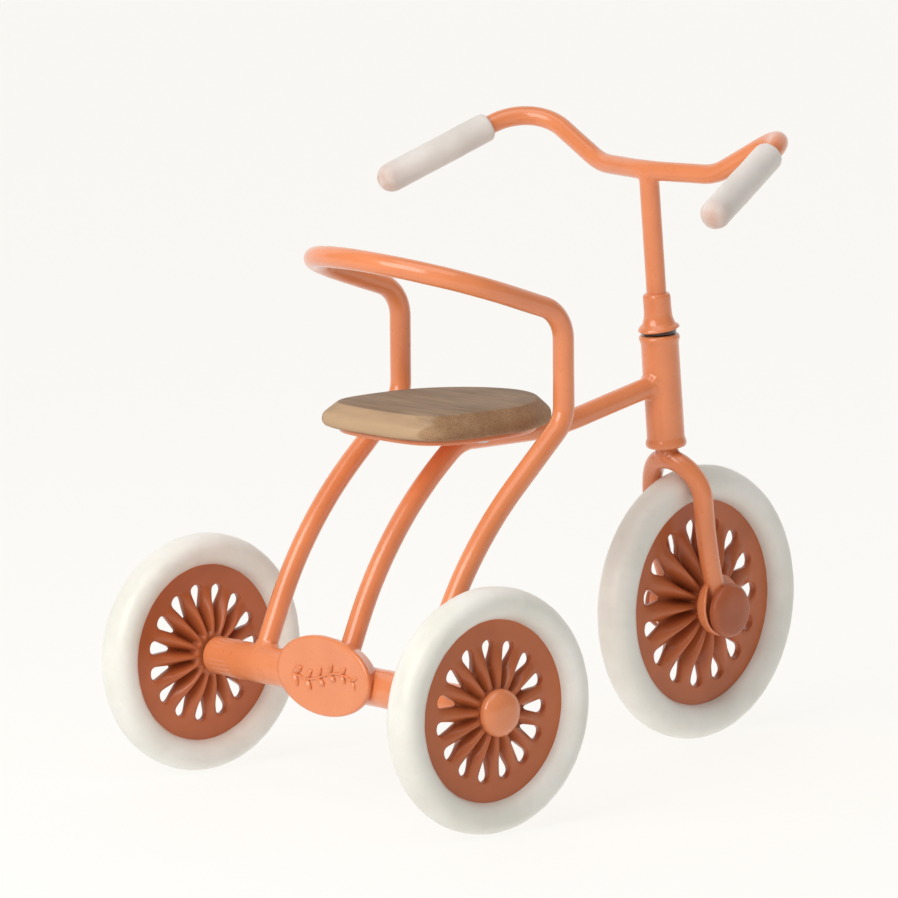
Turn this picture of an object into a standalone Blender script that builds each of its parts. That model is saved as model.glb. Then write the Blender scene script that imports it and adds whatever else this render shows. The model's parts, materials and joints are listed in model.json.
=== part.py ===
"""Doll-size metal tricycle: bent-tube frame, wooden seat, three fluted wheels with ring tyres.

Frame of the source: +X is forward, +Y is the rider's left, +Z is up. The sub-parts are placed from
the rear axle, and the finished tricycle is then moved so that the origin is at the middle of its
box, on the ground. The steering rests a few degrees to the left, STEER_REST.
"""

import bpy
import bmesh
from math import acos, atan2, cos, pi, radians, sin, tan
from mathutils import Matrix, Vector

MM = 0.001

# Gaps and fits
CONTACT_GAP = 0.25 * MM         # between pieces that rest on or are welded to each other
RUNNING_FIT = 0.08 * MM         # radial, between a shaft and the hole that holds it
WELD_DISTANCE = 0.004 * MM      # joins the slivers a cut leaves

# Rear wheels and axle
REAR_TYRE_RADIUS = 19.9 * MM
REAR_DISC_RADIUS = 14.75 * MM   # where the tyre meets the disc
REAR_TYRE_HALF_WIDTH = 3.3 * MM
REAR_TRACK = 73.0 * MM
AXLE_TUBE_RADIUS = 3.15 * MM
AXLE_TUBE_WALL = 0.65 * MM
AXLE_ROD_RADIUS = 0.95 * MM
AXLE_BUSH_LENGTH = 5.0 * MM

# Front wheel and its place in the steering
FRONT_TYRE_RADIUS = 23.34 * MM
FRONT_DISC_RADIUS = 17.5 * MM
FRONT_TYRE_HALF_WIDTH = 3.3 * MM
FORK_RAKE = 5.16 * MM           # hub's distance ahead of the steering axis

# Wheel discs: the ribs' feet and the holes keep their distance from the disc's edge
RIB_COUNT = 15
DISC_HALF_THICKNESS = 0.75 * MM
TYRE_GROOVE_DEPTH = 1.3 * MM
RIB_FOOT_INSET = 2.4 * MM
HOLE_END_INSET = 3.3 * MM
HOLE_WIDE_INSET = 4.2 * MM
HOLE_NARROWING_INSET = 5.5 * MM
HOLE_TIP_INSET = 7.6 * MM
HOLE_HALF_WIDTH = 1.1 * MM
RIB_SHOULDER = 0.8 * MM         # ribs start to fall this far outside the hub
RIB_HEIGHTS = (0.95, 0.48, 0.2)  # at the shoulder and along the hole, as shares of the hub's rise
FLANK_HEIGHTS = (0.45, 0.12, 0.0)
HUB_RADIUS = 3.6 * MM
REAR_HUB_OUTER = 2.1 * MM       # hub face from the wheel's mid-plane, outboard
REAR_HUB_INNER = 3.0 * MM       # and inboard
FRONT_HUB_FACE = 3.2 * MM
WASHER_RADIUS = 2.3 * MM
WASHER_THICKNESS = 0.5 * MM
HUB_CAP_RADIUS = 3.7 * MM
HUB_CAP_HEIGHT = 2.4 * MM
HUB_CAP_SKIRT = 0.5 * MM
HUB_CAP_FULLNESS = 0.8           # below 1 makes the dome's shoulder rounder
RIB_TURN = {"left": radians(4.4), "right": radians(-8.9), "front": radians(-4.6)}  # top rib at rest

# Frame tubes
TUBE_RADIUS = 1.75 * MM
STAY_FOOT_X = -0.3 * MM
STAY_FOOT_ANGLE = radians(66.5)  # above the horizontal
STAY_FOOT_RUN = 10.5 * MM
STAY_BEND_RADIUS = 66.0 * MM
SIDE_STAY_TOP_ANGLE = radians(42.5)
SIDE_TUBE_OFFSET = 20.5 * MM     # from the centre plane
UPRIGHT_X = 30.5 * MM
UPRIGHT_BEND_RADIUS = 5.5 * MM
UPRIGHT_TOP_Z = 79.3 * MM
ARM_BEND_RADIUS = 6.0 * MM
ARM_SLOPE = 0.34
HOOP_START_X = 18.5 * MM
HOOP_DEPTH = 16.0 * MM
BACKBONE_STAY_TOP_ANGLE = radians(38.0)
BACKBONE_Z = 56.7 * MM
BACKBONE_BEND_RADIUS = 7.3 * MM
BACKBONE_RISE_LEAD = 5.1 * MM    # the rise's corner is this far ahead of the seat
BACKBONE_RISE_RUN = 4.346 * MM   # its bend starts and ends this far from the corner
BACKBONE_ENTRY = 1.843 * MM      # it aims at this height above the head tube's pivot

# Head tube and steering
HEAD_X = 70.8 * MM
HEAD_ABOVE_TYRE = 13.52 * MM     # pivot's height above the top of the front tyre
HEAD_ANGLE = radians(4.5)        # top of the steering axis leans back
STEER_REST = radians(6.5)        # turned to the left at rest
BAR_TWIST = radians(-4.5)        # handlebar against the fork
HEAD_TOP = 9.9 * MM              # heights in the steering frame, from the pivot
HEAD_BOTTOM = -9.4 * MM
HEAD_RADIUS = 3.2 * MM
HEAD_RIM_RADIUS = 3.5 * MM
HEAD_WALL = 0.7 * MM
HEAD_ROLL = 0.5 * MM             # radius of the rolled rims
HEAD_BUSH_LENGTH = 3.0 * MM
STEM_RADIUS = 1.68 * MM
COLLAR_HEIGHT = 7.0 * MM
COLLAR_TOP_RADIUS = 2.35 * MM
COLLAR_FLARE_RADIUS = 3.5 * MM
COLLAR_LIP = 0.8 * MM            # height of the flare's upright edge
COLLAR_NECK = 2.8 * MM           # height at which the flare has run out

# Fork
FORK_RADIUS = 1.72 * MM
FORK_CROWN_CLEARANCE = 0.4 * MM
FORK_TYRE_GAP = 0.63 * MM        # between a blade and the side of the tyre
FORK_ARCH_HEIGHT = 7.2 * MM
FORK_SHOULDER_LEAD = 0.4         # share of the rake already reached at the top of the blades
FORK_END_TRIM = 0.3              # the bar stops this share of a step above the axle
FORK_EYE_RADIUS = 5.0 * MM
FORK_EYE_THICKNESS = 1.3 * MM
FORK_EYE_RIM = 0.7 * MM
FORK_EYE_RIM_WALL = 0.8 * MM
BUTTON_RADIUS = 4.6 * MM
BUTTON_NECK_RADIUS = 2.8 * MM
BUTTON_NECK = 0.8 * MM
BUTTON_HEIGHT = 2.0 * MM
BUTTON_EDGE = 0.3 * MM

# Handlebar, in the steering frame
BAR_RADIUS = 1.63 * MM
BAR_CENTRE = Vector((0.15, 0.0, 37.8)) * MM
BAR_STRAIGHT = 2.6 * MM          # half of the level stretch on the stem
BAR_INNER_CORNER = Vector((2.1, 13.7, 37.7)) * MM
BAR_OUTER_CORNER = Vector((3.8, 31.2, 46.6)) * MM
BAR_GRIP_TIP = Vector((-25.0, 39.6, 36.6)) * MM
BAR_INNER_BEND = 10.0 * MM
BAR_OUTER_BEND = 8.6 * MM
GRIP_LENGTH = 22.2 * MM
GRIP_RADIUS = 2.5 * MM
GRIP_END_WALL = 1.6 * MM
GRIP_MOUTH_EDGE = 0.4 * MM
GRIP_DOME = 0.9                  # height of the rounded tip, as a share of the radius

# Seat
SEAT_CENTRE_X = 23.4 * MM
SEAT_FRONT = 18.0 * MM           # outline's reach ahead of the centre
SEAT_REAR = 18.2 * MM
SEAT_SIDE_GAP = 2.35 * MM        # between the seat and the side tubes
SEAT_FRONT_POWER = 1.85          # roundness of the outline: 2 is an ellipse, more is squarer
SEAT_REAR_POWER = 4.2
SEAT_THICKNESS = 4.0 * MM
SEAT_TOP_BEVEL = 2.0 * MM
SEAT_BOTTOM_BEVEL = 0.7 * MM
SEAT_EDGE_LOW = 0.9 * MM
SEAT_EDGE_HIGH = 2.5 * MM
SEAT_EDGE_DRAFT = 0.2 * MM       # the side leans in by this much towards the top bevel
PLATE_THICKNESS = 0.8 * MM
PLATE_INSET = 2.4 * MM
SCREW_OFFSET = 8.0 * MM
SCREW_RADIUS = 0.8 * MM
SCREW_HEAD_RADIUS = 1.7 * MM
SCREW_HEAD_HEIGHT = 0.9 * MM
SCREW_BITE = 2.4 * MM

# Badge on the axle tube
BADGE_HALF_WIDTH = 11.7 * MM
BADGE_HALF_HEIGHT = 6.6 * MM
BADGE_FACE = 4.3 * MM            # face's distance behind the axle
BADGE_FOOT_OVERLAP = 0.85 * MM   # its back reaches this far past the rear of the stay's foot
BADGE_EDGE = 0.9 * MM
BADGE_FACE_BEVEL = 0.3 * MM
BADGE_RISE = 1.2 * MM            # middle of the badge above the axle
BADGE_BACK_SCALE = 0.86

# Number of facets
TUBE_SIDES = 8
ROUND_SIDES = 24
TYRE_SIDES = 40                  # a multiple of 4 puts a flat at the ground
TYRE_SECTION_SIDES = 10
BEND_STEP = radians(15.0)

# Finishes: colour, roughness, metallic
ENAMEL = ((0.80, 0.26, 0.12), 0.30, 0.0)
DISC_ENAMEL = ((0.62, 0.17, 0.08), 0.35, 0.0)
IVORY_RUBBER = ((0.78, 0.76, 0.68), 0.45, 0.0)
IVORY_GRIP = ((0.84, 0.76, 0.70), 0.60, 0.0)
BEECH = ((0.40, 0.27, 0.16), 0.75, 0.0)
BRIGHT_STEEL = ((0.56, 0.56, 0.57), 0.35, 1.0)
BUSH_BRASS = ((0.62, 0.46, 0.22), 0.40, 1.0)

# Worked-out sizes
GROUND_TO_REAR_AXLE = REAR_TYRE_RADIUS
HEAD_PIVOT = Vector((HEAD_X, 0.0, 2 * FRONT_TYRE_RADIUS + HEAD_ABOVE_TYRE))
FORK_HALF_WIDTH = FRONT_TYRE_HALF_WIDTH + FORK_TYRE_GAP + FORK_RADIUS
SEAT_HALF_WIDTH = SIDE_TUBE_OFFSET - TUBE_RADIUS - SEAT_SIDE_GAP
BADGE_DEPTH = BADGE_FACE - TUBE_RADIUS + BADGE_FOOT_OVERLAP
WHEEL_SIDE = {"left": 1.0, "right": -1.0}
ROD_HOLE_RADIUS = AXLE_ROD_RADIUS + RUNNING_FIT
AXLE_TUBE_HALF_LENGTH = REAR_TRACK / 2 - REAR_HUB_INNER - WASHER_THICKNESS - 2 * CONTACT_GAP
HUB_DROP = (HEAD_PIVOT.z + FORK_RAKE * cos(STEER_REST) * sin(HEAD_ANGLE)
            - FRONT_TYRE_RADIUS) / cos(HEAD_ANGLE)
FORK_CROWN_Z = HEAD_BOTTOM - FORK_CROWN_CLEARANCE - FORK_RADIUS
FORK_EYE_FACE = FRONT_HUB_FACE + WASHER_THICKNESS + 2 * CONTACT_GAP
PLATE_BOTTOM = BACKBONE_Z + TUBE_RADIUS + CONTACT_GAP
SEAT_BOTTOM = PLATE_BOTTOM + PLATE_THICKNESS + CONTACT_GAP


# ---------------------------------------------------------------- scene helpers

def clear_scene():
    for old in list(bpy.data.objects):
        bpy.data.objects.remove(old, do_unlink=True)


def empty(name, parent=None, location=(0.0, 0.0, 0.0), rotation=(0.0, 0.0, 0.0)):
    axis = bpy.data.objects.new(name, None)
    axis.empty_display_size = 5 * MM
    axis.location = location
    axis.rotation_euler = rotation
    axis.parent = parent
    bpy.context.scene.collection.objects.link(axis)
    return axis


def material(name, finish):
    colour, roughness, metallic = finish
    paint = bpy.data.materials.new(name)
    paint.use_nodes = True
    shader = paint.node_tree.nodes["Principled BSDF"]
    shader.inputs["Base Color"].default_value = (*colour, 1.0)
    shader.inputs["Roughness"].default_value = roughness
    shader.inputs["Metallic"].default_value = metallic
    paint.diffuse_color = (*colour, 1.0)
    return paint


def add_part(name, mesh, finish, parent, location=(0.0, 0.0, 0.0), rotation=(0.0, 0.0, 0.0)):
    part = bpy.data.objects.new(name, mesh)
    part.location = location
    part.rotation_euler = rotation
    part.parent = parent
    bpy.context.scene.collection.objects.link(part)
    part.data.materials.append(material(name, finish))
    return part


def add_helper(name, mesh, parent, location=(0.0, 0.0, 0.0), rotation=(0.0, 0.0, 0.0)):
    helper = bpy.data.objects.new(name, mesh)
    helper.location = location
    helper.rotation_euler = rotation
    helper.parent = parent
    helper.hide_render = True
    helper.display_type = "WIRE"
    bpy.context.scene.collection.objects.link(helper)
    return helper


def boolean(part, helper, operation):
    step = part.modifiers.new(f"{operation.lower()}_{helper.name}", "BOOLEAN")
    step.operation = operation
    step.solver = "EXACT"
    step.object = helper
    tidy = part.modifiers.new(f"weld_{helper.name}", "WELD")
    tidy.merge_threshold = WELD_DISTANCE


def finish_mesh(name, bm):
    bmesh.ops.recalc_face_normals(bm, faces=bm.faces)
    mesh = bpy.data.meshes.new(name)
    bm.to_mesh(mesh)
    bm.free()
    mesh.shade_smooth()
    mesh.set_sharp_from_angle(angle=radians(35))
    return mesh


def outboard(side):
    """Rotation that points a piece's own +Z away from the tricycle, on one side."""
    return (pi / 2, 0.0, pi if side > 0 else 0.0)


# ---------------------------------------------------------------- shape helpers

def flats_at(radius, sides):
    """Corner radius of a regular polygon whose flats lie at the radius."""
    return radius / cos(pi / sides)


def turned(name, profile, sides, half_step=False):
    """Turn a profile of (radius, height) about Z; it closes on the axis or on itself."""
    bm = bmesh.new()
    shift = 0.5 if half_step else 0.0
    rings = []
    for radius, height in profile:
        if radius == 0.0:
            rings.append([bm.verts.new((0.0, 0.0, height))])
            continue
        angles = [2 * pi * (k + shift) / sides for k in range(sides)]
        rings.append([bm.verts.new((radius * cos(a), radius * sin(a), height)) for a in angles])
    pairs = list(zip(rings, rings[1:]))
    if len(rings[0]) > 1:
        pairs.append((rings[-1], rings[0]))
    for low, high in pairs:
        for k in range(sides):
            n = (k + 1) % sides
            corners = [low[k % len(low)], low[n % len(low)], high[n % len(high)], high[k % len(high)]]
            bm.faces.new(list(dict.fromkeys(corners)))
    return finish_mesh(name, bm)


def tube_ring(centre, along, across, radius, sides):
    other = along.cross(across)
    turn = [2 * pi * (k + 0.5) / sides for k in range(sides)]
    return [centre + radius * (cos(a) * across + sin(a) * other) for a in turn]


def swept(name, path, radius, sides, hint, start_seat=None, end_seat=None):
    """Round bar along a path. A seat (point, axis, radius) copes that end to a round surface."""
    tangents = []
    for k in range(len(path)):
        before = path[max(k - 1, 0)]
        after = path[min(k + 1, len(path) - 1)]
        tangents.append((after - before).normalized())
    across = hint
    rings = []
    for point, along in zip(path, tangents):
        across = (across - across.dot(along) * along).normalized()
        rings.append(tube_ring(point, along, across, radius, sides))
    bm = bmesh.new()
    caps = []
    for end, beside, seat in ((0, 1, start_seat), (-1, -2, end_seat)):
        tip = path[end]
        half_way = []
        if seat:
            pairs = list(zip(rings[end], rings[beside]))
            half_way = [reach(tip.lerp(p, 0.5), path[beside].lerp(q, 0.5), seat) for p, q in pairs]
            rings[end] = [reach(p, q, seat) for p, q in pairs]
            tip = reach(path[end], path[beside], seat)
        caps.append((end, [bm.verts.new(p) for p in half_way], bm.verts.new(tip)))
    loops = [[bm.verts.new(p) for p in ring] for ring in rings]
    bands = list(zip(loops, loops[1:]))
    for end, half_way, tip in caps:
        rim = loops[end]
        if half_way:
            bands.append((rim, half_way))
            rim = half_way
        for k in range(sides):
            bm.faces.new((rim[k], rim[(k + 1) % sides], tip))
    for low, high in bands:
        for k in range(sides):
            n = (k + 1) % sides
            bm.faces.new((low[k], low[n], high[n], high[k]))
    return finish_mesh(name, bm)


def reach(inner, outer, seat):
    """Point between outer and inner where the line meets the seat's round surface."""
    point, axis, radius = seat
    line = (inner - outer).normalized()
    start = outer - point
    across = line - line.dot(axis) * axis
    from_axis = start - start.dot(axis) * axis
    a = across.dot(across)
    b = from_axis.dot(across)
    c = from_axis.dot(from_axis) - radius ** 2
    root = max(b * b - a * c, 0.0) ** 0.5
    return outer + line * ((-b - root) / a)


def bend_points(corner, before, after, radius):
    """Arc of the given radius that rounds the corner between two neighbours."""
    back = (before - corner).normalized()
    ahead = (after - corner).normalized()
    opening = acos(max(-1.0, min(1.0, back.dot(ahead))))
    start = corner + back * (radius / tan(opening / 2))
    end = corner + ahead * (radius / tan(opening / 2))
    centre = corner + (back + ahead).normalized() * (radius / sin(opening / 2))
    turn = pi - opening
    steps = max(2, round(turn / BEND_STEP))
    first = start - centre
    last = end - centre
    weights = [turn * k / steps for k in range(steps + 1)]
    return [centre + (sin(turn - w) * first + sin(w) * last) / sin(turn) for w in weights]


def rounded_path(corners, radii):
    """Corners joined by straight runs, each inner corner rounded to its radius."""
    points = [corners[0]]
    for k, radius in enumerate(radii, start=1):
        points += bend_points(corners[k], corners[k - 1], corners[k + 1], radius)
    points.append(corners[-1])
    return points


def in_side_plane(x, z, y=0.0):
    return Vector((x, y, z))


def heading_vector(angle):
    return in_side_plane(cos(angle), sin(angle))


def stay_arc(foot_end, top_angle):
    """Long gentle bend of a stay, from its straight foot to the heading top_angle."""
    steps = max(2, round((STAY_FOOT_ANGLE - top_angle) / (BEND_STEP / 3)))
    points = []
    for k in range(1, steps + 1):
        angle = STAY_FOOT_ANGLE + (top_angle - STAY_FOOT_ANGLE) * k / steps
        move = in_side_plane(sin(STAY_FOOT_ANGLE) - sin(angle), cos(angle) - cos(STAY_FOOT_ANGLE))
        points.append(foot_end + STAY_BEND_RADIUS * move)
    return points


def superellipse(front, rear, half_width, count):
    """Seat outline, anticlockwise, round at the front and squarer at the rear."""
    points = []
    for k in range(count):
        angle = 2 * pi * k / count
        c, s = cos(angle), sin(angle)
        power = 2 / (SEAT_FRONT_POWER if c > 0 else SEAT_REAR_POWER)
        x = (front if c > 0 else rear) * abs(c) ** power * (1 if c > 0 else -1)
        y = half_width * abs(s) ** power * (1 if s > 0 else -1)
        points.append((x, y))
    return points


def stacked(name, layers):
    """Solid whose outline changes from layer to layer; each layer is a list of points."""
    bm = bmesh.new()
    loops = [[bm.verts.new(p) for p in layer] for layer in layers]
    count = len(loops[0])
    for low, high in zip(loops, loops[1:]):
        for k in range(count):
            n = (k + 1) % count
            bm.faces.new((low[k], low[n], high[n], high[k]))
    bm.faces.new(loops[0][::-1])
    bm.faces.new(loops[-1])
    return finish_mesh(name, bm)


# ---------------------------------------------------------------- frame tubes

AXLE_SEAT = (
    in_side_plane(0.0, GROUND_TO_REAR_AXLE),
    Vector((0.0, 1.0, 0.0)),
    AXLE_TUBE_RADIUS + CONTACT_GAP,
)
HEAD_AXIS = Vector((-sin(HEAD_ANGLE), 0.0, cos(HEAD_ANGLE)))
HEAD_SEAT = (HEAD_PIVOT, HEAD_AXIS, HEAD_RADIUS + CONTACT_GAP)


def stay_points(top_angle):
    foot = in_side_plane(STAY_FOOT_X, GROUND_TO_REAR_AXLE)
    foot_end = foot + STAY_FOOT_RUN * heading_vector(STAY_FOOT_ANGLE)
    return [foot, foot_end] + stay_arc(foot_end, top_angle)


def backrest_path():
    """Left stay, upright, arm, hoop, then the same mirrored down the right side."""
    stay = stay_points(SIDE_STAY_TOP_ANGLE)
    top = stay[-1]
    climb = heading_vector(SIDE_STAY_TOP_ANGLE)
    knee = top + climb * ((UPRIGHT_X - top.x) / climb.x)
    elbow = in_side_plane(UPRIGHT_X, UPRIGHT_TOP_Z)
    arm_end = in_side_plane(HOOP_START_X, UPRIGHT_TOP_Z + ARM_SLOPE * (UPRIGHT_X - HOOP_START_X))
    corners = [top, knee, elbow, arm_end]
    side = stay[:-1] + rounded_path(corners, [UPRIGHT_BEND_RADIUS, ARM_BEND_RADIUS])
    left = [p + Vector((0.0, SIDE_TUBE_OFFSET, 0.0)) for p in side]
    right = [p - Vector((0.0, SIDE_TUBE_OFFSET, 0.0)) for p in reversed(side)]
    hoop = []
    hoop_steps = round(pi / BEND_STEP)
    for k in range(1, hoop_steps):
        angle = pi * k / hoop_steps
        x = HOOP_START_X - HOOP_DEPTH * sin(angle)
        z = UPRIGHT_TOP_Z + ARM_SLOPE * (UPRIGHT_X - x)
        hoop.append(Vector((x, SIDE_TUBE_OFFSET * cos(angle), z)))
    return left + hoop + right


def backbone_path():
    """Middle stay, level run under the seat, then the rise to the head tube."""
    stay = stay_points(BACKBONE_STAY_TOP_ANGLE)
    top = stay[-1]
    climb = heading_vector(BACKBONE_STAY_TOP_ANGLE)
    shoulder = top + climb * ((BACKBONE_Z - top.z) / climb.z)
    rise = in_side_plane(SEAT_CENTRE_X + SEAT_FRONT + BACKBONE_RISE_LEAD, BACKBONE_Z)
    head = in_side_plane(HEAD_PIVOT.x, HEAD_PIVOT.z + BACKBONE_ENTRY)
    turn = abs(atan2(head.z - rise.z, head.x - rise.x))
    corners = [top, shoulder, rise, head]
    return stay[:-1] + rounded_path(corners, [BACKBONE_BEND_RADIUS, BACKBONE_RISE_RUN / tan(turn / 2)])


def build_frame_tubes(root):
    sideways = Vector((0.0, 1.0, 0.0))
    backrest = swept("backrest_frame", backrest_path(), TUBE_RADIUS, TUBE_SIDES, sideways,
                     AXLE_SEAT, AXLE_SEAT)
    add_part("backrest_frame", backrest, ENAMEL, root)
    backbone = swept("backbone_tube", backbone_path(), TUBE_RADIUS, TUBE_SIDES, sideways,
                     AXLE_SEAT, HEAD_SEAT)
    add_part("backbone_tube", backbone, ENAMEL, root)


# ---------------------------------------------------------------- rear axle and badge

def build_axle(root):
    centre = in_side_plane(0.0, GROUND_TO_REAR_AXLE)
    along_y = (pi / 2, 0.0, 0.0)
    half = AXLE_TUBE_HALF_LENGTH
    bore = AXLE_TUBE_RADIUS - AXLE_TUBE_WALL
    walls = [(bore, -half), (AXLE_TUBE_RADIUS, -half), (AXLE_TUBE_RADIUS, half), (bore, half)]
    tube = turned("rear_axle_tube", walls, ROUND_SIDES)
    add_part("rear_axle_tube", tube, ENAMEL, root, centre, along_y)

    rod_end = REAR_TRACK / 2 + REAR_HUB_OUTER + CONTACT_GAP + HUB_CAP_HEIGHT / 2
    rod = [(0.0, -rod_end), (AXLE_ROD_RADIUS, -rod_end), (AXLE_ROD_RADIUS, rod_end), (0.0, rod_end)]
    add_part("rear_axle_rod", turned("rear_axle_rod", rod, ROUND_SIDES), BRIGHT_STEEL, root,
             centre, along_y)

    rod_hole = flats_at(ROD_HOLE_RADIUS, ROUND_SIDES)
    bush_radius = bore * cos(pi / ROUND_SIDES) - RUNNING_FIT
    bush = [(rod_hole, 0.0), (bush_radius, 0.0), (bush_radius, AXLE_BUSH_LENGTH),
            (rod_hole, AXLE_BUSH_LENGTH)]
    for word, side in WHEEL_SIDE.items():
        name = f"axle_bush_{word}"
        start = centre + Vector((0.0, side * (half - AXLE_BUSH_LENGTH), 0.0))
        add_part(name, turned(name, bush, ROUND_SIDES), BUSH_BRASS, root, start, outboard(side))


def build_badge(root):
    """Blank oval medallion, hollowed at the back to sit on the axle tube."""
    count = 2 * ROUND_SIDES
    ring = [(cos(2 * pi * k / count), sin(2 * pi * k / count)) for k in range(count)]

    def oval(depth, scale):
        wide = BADGE_HALF_WIDTH * scale
        high = BADGE_HALF_HEIGHT * scale
        return [Vector((-depth, wide * c, BADGE_RISE + high * s)) for c, s in ring]

    layers = [
        oval(BADGE_FACE, 1 - BADGE_FACE_BEVEL / BADGE_HALF_HEIGHT),
        oval(BADGE_FACE - BADGE_FACE_BEVEL, 1.0),
        oval(BADGE_FACE - BADGE_EDGE, 1.0),
        oval(BADGE_FACE - BADGE_DEPTH, BADGE_BACK_SCALE),
    ]
    centre = in_side_plane(0.0, GROUND_TO_REAR_AXLE)
    badge = add_part("axle_badge", stacked("axle_badge", layers), ENAMEL, root, centre)
    reach_out = 2 * BADGE_HALF_WIDTH
    saddle_radius = flats_at(AXLE_TUBE_RADIUS + CONTACT_GAP, ROUND_SIDES)
    saddle = [(0.0, -reach_out), (saddle_radius, -reach_out), (saddle_radius, reach_out),
              (0.0, reach_out)]
    cutter = add_helper("badge_saddle_cutter", turned("badge_saddle_cutter", saddle, ROUND_SIDES),
                        root, centre, (pi / 2, 0.0, 0.0))
    boolean(badge, cutter, "DIFFERENCE")


# ---------------------------------------------------------------- wheels

def disc_row(bm, radius, height, angles):
    return [bm.verts.new((radius * cos(a), radius * sin(a), height)) for a in angles]


def wheel_disc_mesh(name, disc_radius, outer_hub, inner_hub):
    """Fluted disc: RIB_COUNT ribs climb to the hub, with a teardrop hole between each two."""
    sector = 2 * pi / RIB_COUNT
    bore = flats_at(ROD_HOLE_RADIUS, 3 * RIB_COUNT)
    rib_foot = disc_radius - RIB_FOOT_INSET
    hole_end = disc_radius - HOLE_END_INSET
    hole_wide = disc_radius - HOLE_WIDE_INSET
    hole_narrowing = disc_radius - HOLE_NARROWING_INSET
    hole_tip = disc_radius - HOLE_TIP_INSET
    rim = disc_radius + TYRE_GROOVE_DEPTH
    bm = bmesh.new()

    def face_side(hub_height, sign):
        """One face's rows of vertices; row k holds rib, near flank, far flank per sector."""
        flat = DISC_HALF_THICKNESS
        climb = hub_height - flat
        ribs = [flat + share * climb for share in RIB_HEIGHTS]
        flanks = [flat + share * climb for share in FLANK_HEIGHTS]
        even = sector / 6
        # radius, flank's angle from the hole's middle, rib height, flank height
        rows = [
            (bore, even, hub_height, hub_height),
            (HUB_RADIUS, even, hub_height, hub_height),
            (HUB_RADIUS + RIB_SHOULDER, even, ribs[0], flanks[0]),
            (hole_narrowing, HOLE_HALF_WIDTH / hole_narrowing, ribs[1], flanks[1]),
            (hole_wide, HOLE_HALF_WIDTH / hole_wide, ribs[2], flanks[2]),
            (rib_foot, even, flat, flat),
            (rim, even, flat, flat),
        ]
        table = []
        for radius, flank, rib_z, flank_z in rows:
            ring = []
            for k in range(RIB_COUNT):
                rib_angle = pi / 2 + k * sector
                middle = rib_angle + sector / 2
                ring.append(disc_row(bm, radius, sign * rib_z, [rib_angle])[0])
                ring += disc_row(bm, radius, sign * flank_z, [middle - flank, middle + flank])
            table.append(ring)
        tips = []
        ends = []
        for k in range(RIB_COUNT):
            middle = pi / 2 + (k + 0.5) * sector
            tips += disc_row(bm, hole_tip, sign * flanks[1], [middle])
            ends += disc_row(bm, hole_end, sign * flat, [middle])
        return table, tips, ends

    def skin(table, tips, ends):
        columns = 3 * RIB_COUNT
        hole_rows = (2, 3, 4)
        for row in range(len(table) - 1):
            low, high = table[row], table[row + 1]
            for c in range(columns):
                if row in hole_rows and c % 3 == 1:
                    continue
                n = (c + 1) % columns
                bm.faces.new((low[c], low[n], high[n], high[c]))
        for k in range(RIB_COUNT):
            a, b = 3 * k + 1, 3 * k + 2
            bm.faces.new((table[2][a], table[2][b], tips[k]))
            bm.faces.new((table[2][a], tips[k], table[3][a]))
            bm.faces.new((table[2][b], table[3][b], tips[k]))
            bm.faces.new((table[4][a], ends[k], table[5][a]))
            bm.faces.new((table[4][b], table[5][b], ends[k]))
            bm.faces.new((table[5][a], ends[k], table[5][b]))

    top, top_tips, top_ends = face_side(outer_hub, 1)
    low, low_tips, low_ends = face_side(inner_hub, -1)
    skin(top, top_tips, top_ends)
    skin(low, low_tips, low_ends)
    for edge in (0, -1):
        for c in range(3 * RIB_COUNT):
            n = (c + 1) % (3 * RIB_COUNT)
            bm.faces.new((top[edge][c], top[edge][n], low[edge][n], low[edge][c]))
    for k in range(RIB_COUNT):
        a, b = 3 * k + 1, 3 * k + 2
        upper = [top_tips[k], top[3][a], top[4][a], top_ends[k], top[4][b], top[3][b]]
        lower = [low_tips[k], low[3][a], low[4][a], low_ends[k], low[4][b], low[3][b]]
        for m in range(len(upper)):
            n = (m + 1) % len(upper)
            bm.faces.new((upper[m], upper[n], lower[n], lower[m]))
    return finish_mesh(name, bm)


def tyre_mesh(name, outer_radius, disc_radius, half_width):
    """Ring of oval section with a groove inside that grips the disc's rim."""
    half_depth = (outer_radius - disc_radius) / 2
    middle = disc_radius + half_depth
    groove_half = DISC_HALF_THICKNESS + CONTACT_GAP
    groove_floor = disc_radius + TYRE_GROOVE_DEPTH + CONTACT_GAP
    step = 2 * pi / TYRE_SECTION_SIDES
    section = []
    for k in range(TYRE_SECTION_SIDES):
        angle = step * (k + 0.5)
        radius = middle + half_depth / cos(step / 2) * cos(angle)
        height = half_width * sin(angle)
        if cos(angle) < -cos(step):
            radius = disc_radius
            height = groove_half if height > 0 else -groove_half
        section.append((flats_at(radius, TYRE_SIDES), height))
    lip = TYRE_SECTION_SIDES // 2
    floor = flats_at(groove_floor, TYRE_SIDES)
    section[lip:lip] = [(floor, groove_half), (floor, -groove_half)]
    return turned(name, section, TYRE_SIDES, half_step=True)


def washer_mesh(name):
    hole = flats_at(ROD_HOLE_RADIUS, ROUND_SIDES)
    ring = [(hole, 0.0), (WASHER_RADIUS, 0.0), (WASHER_RADIUS, WASHER_THICKNESS),
            (hole, WASHER_THICKNESS)]
    return turned(name, ring, ROUND_SIDES)


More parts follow.
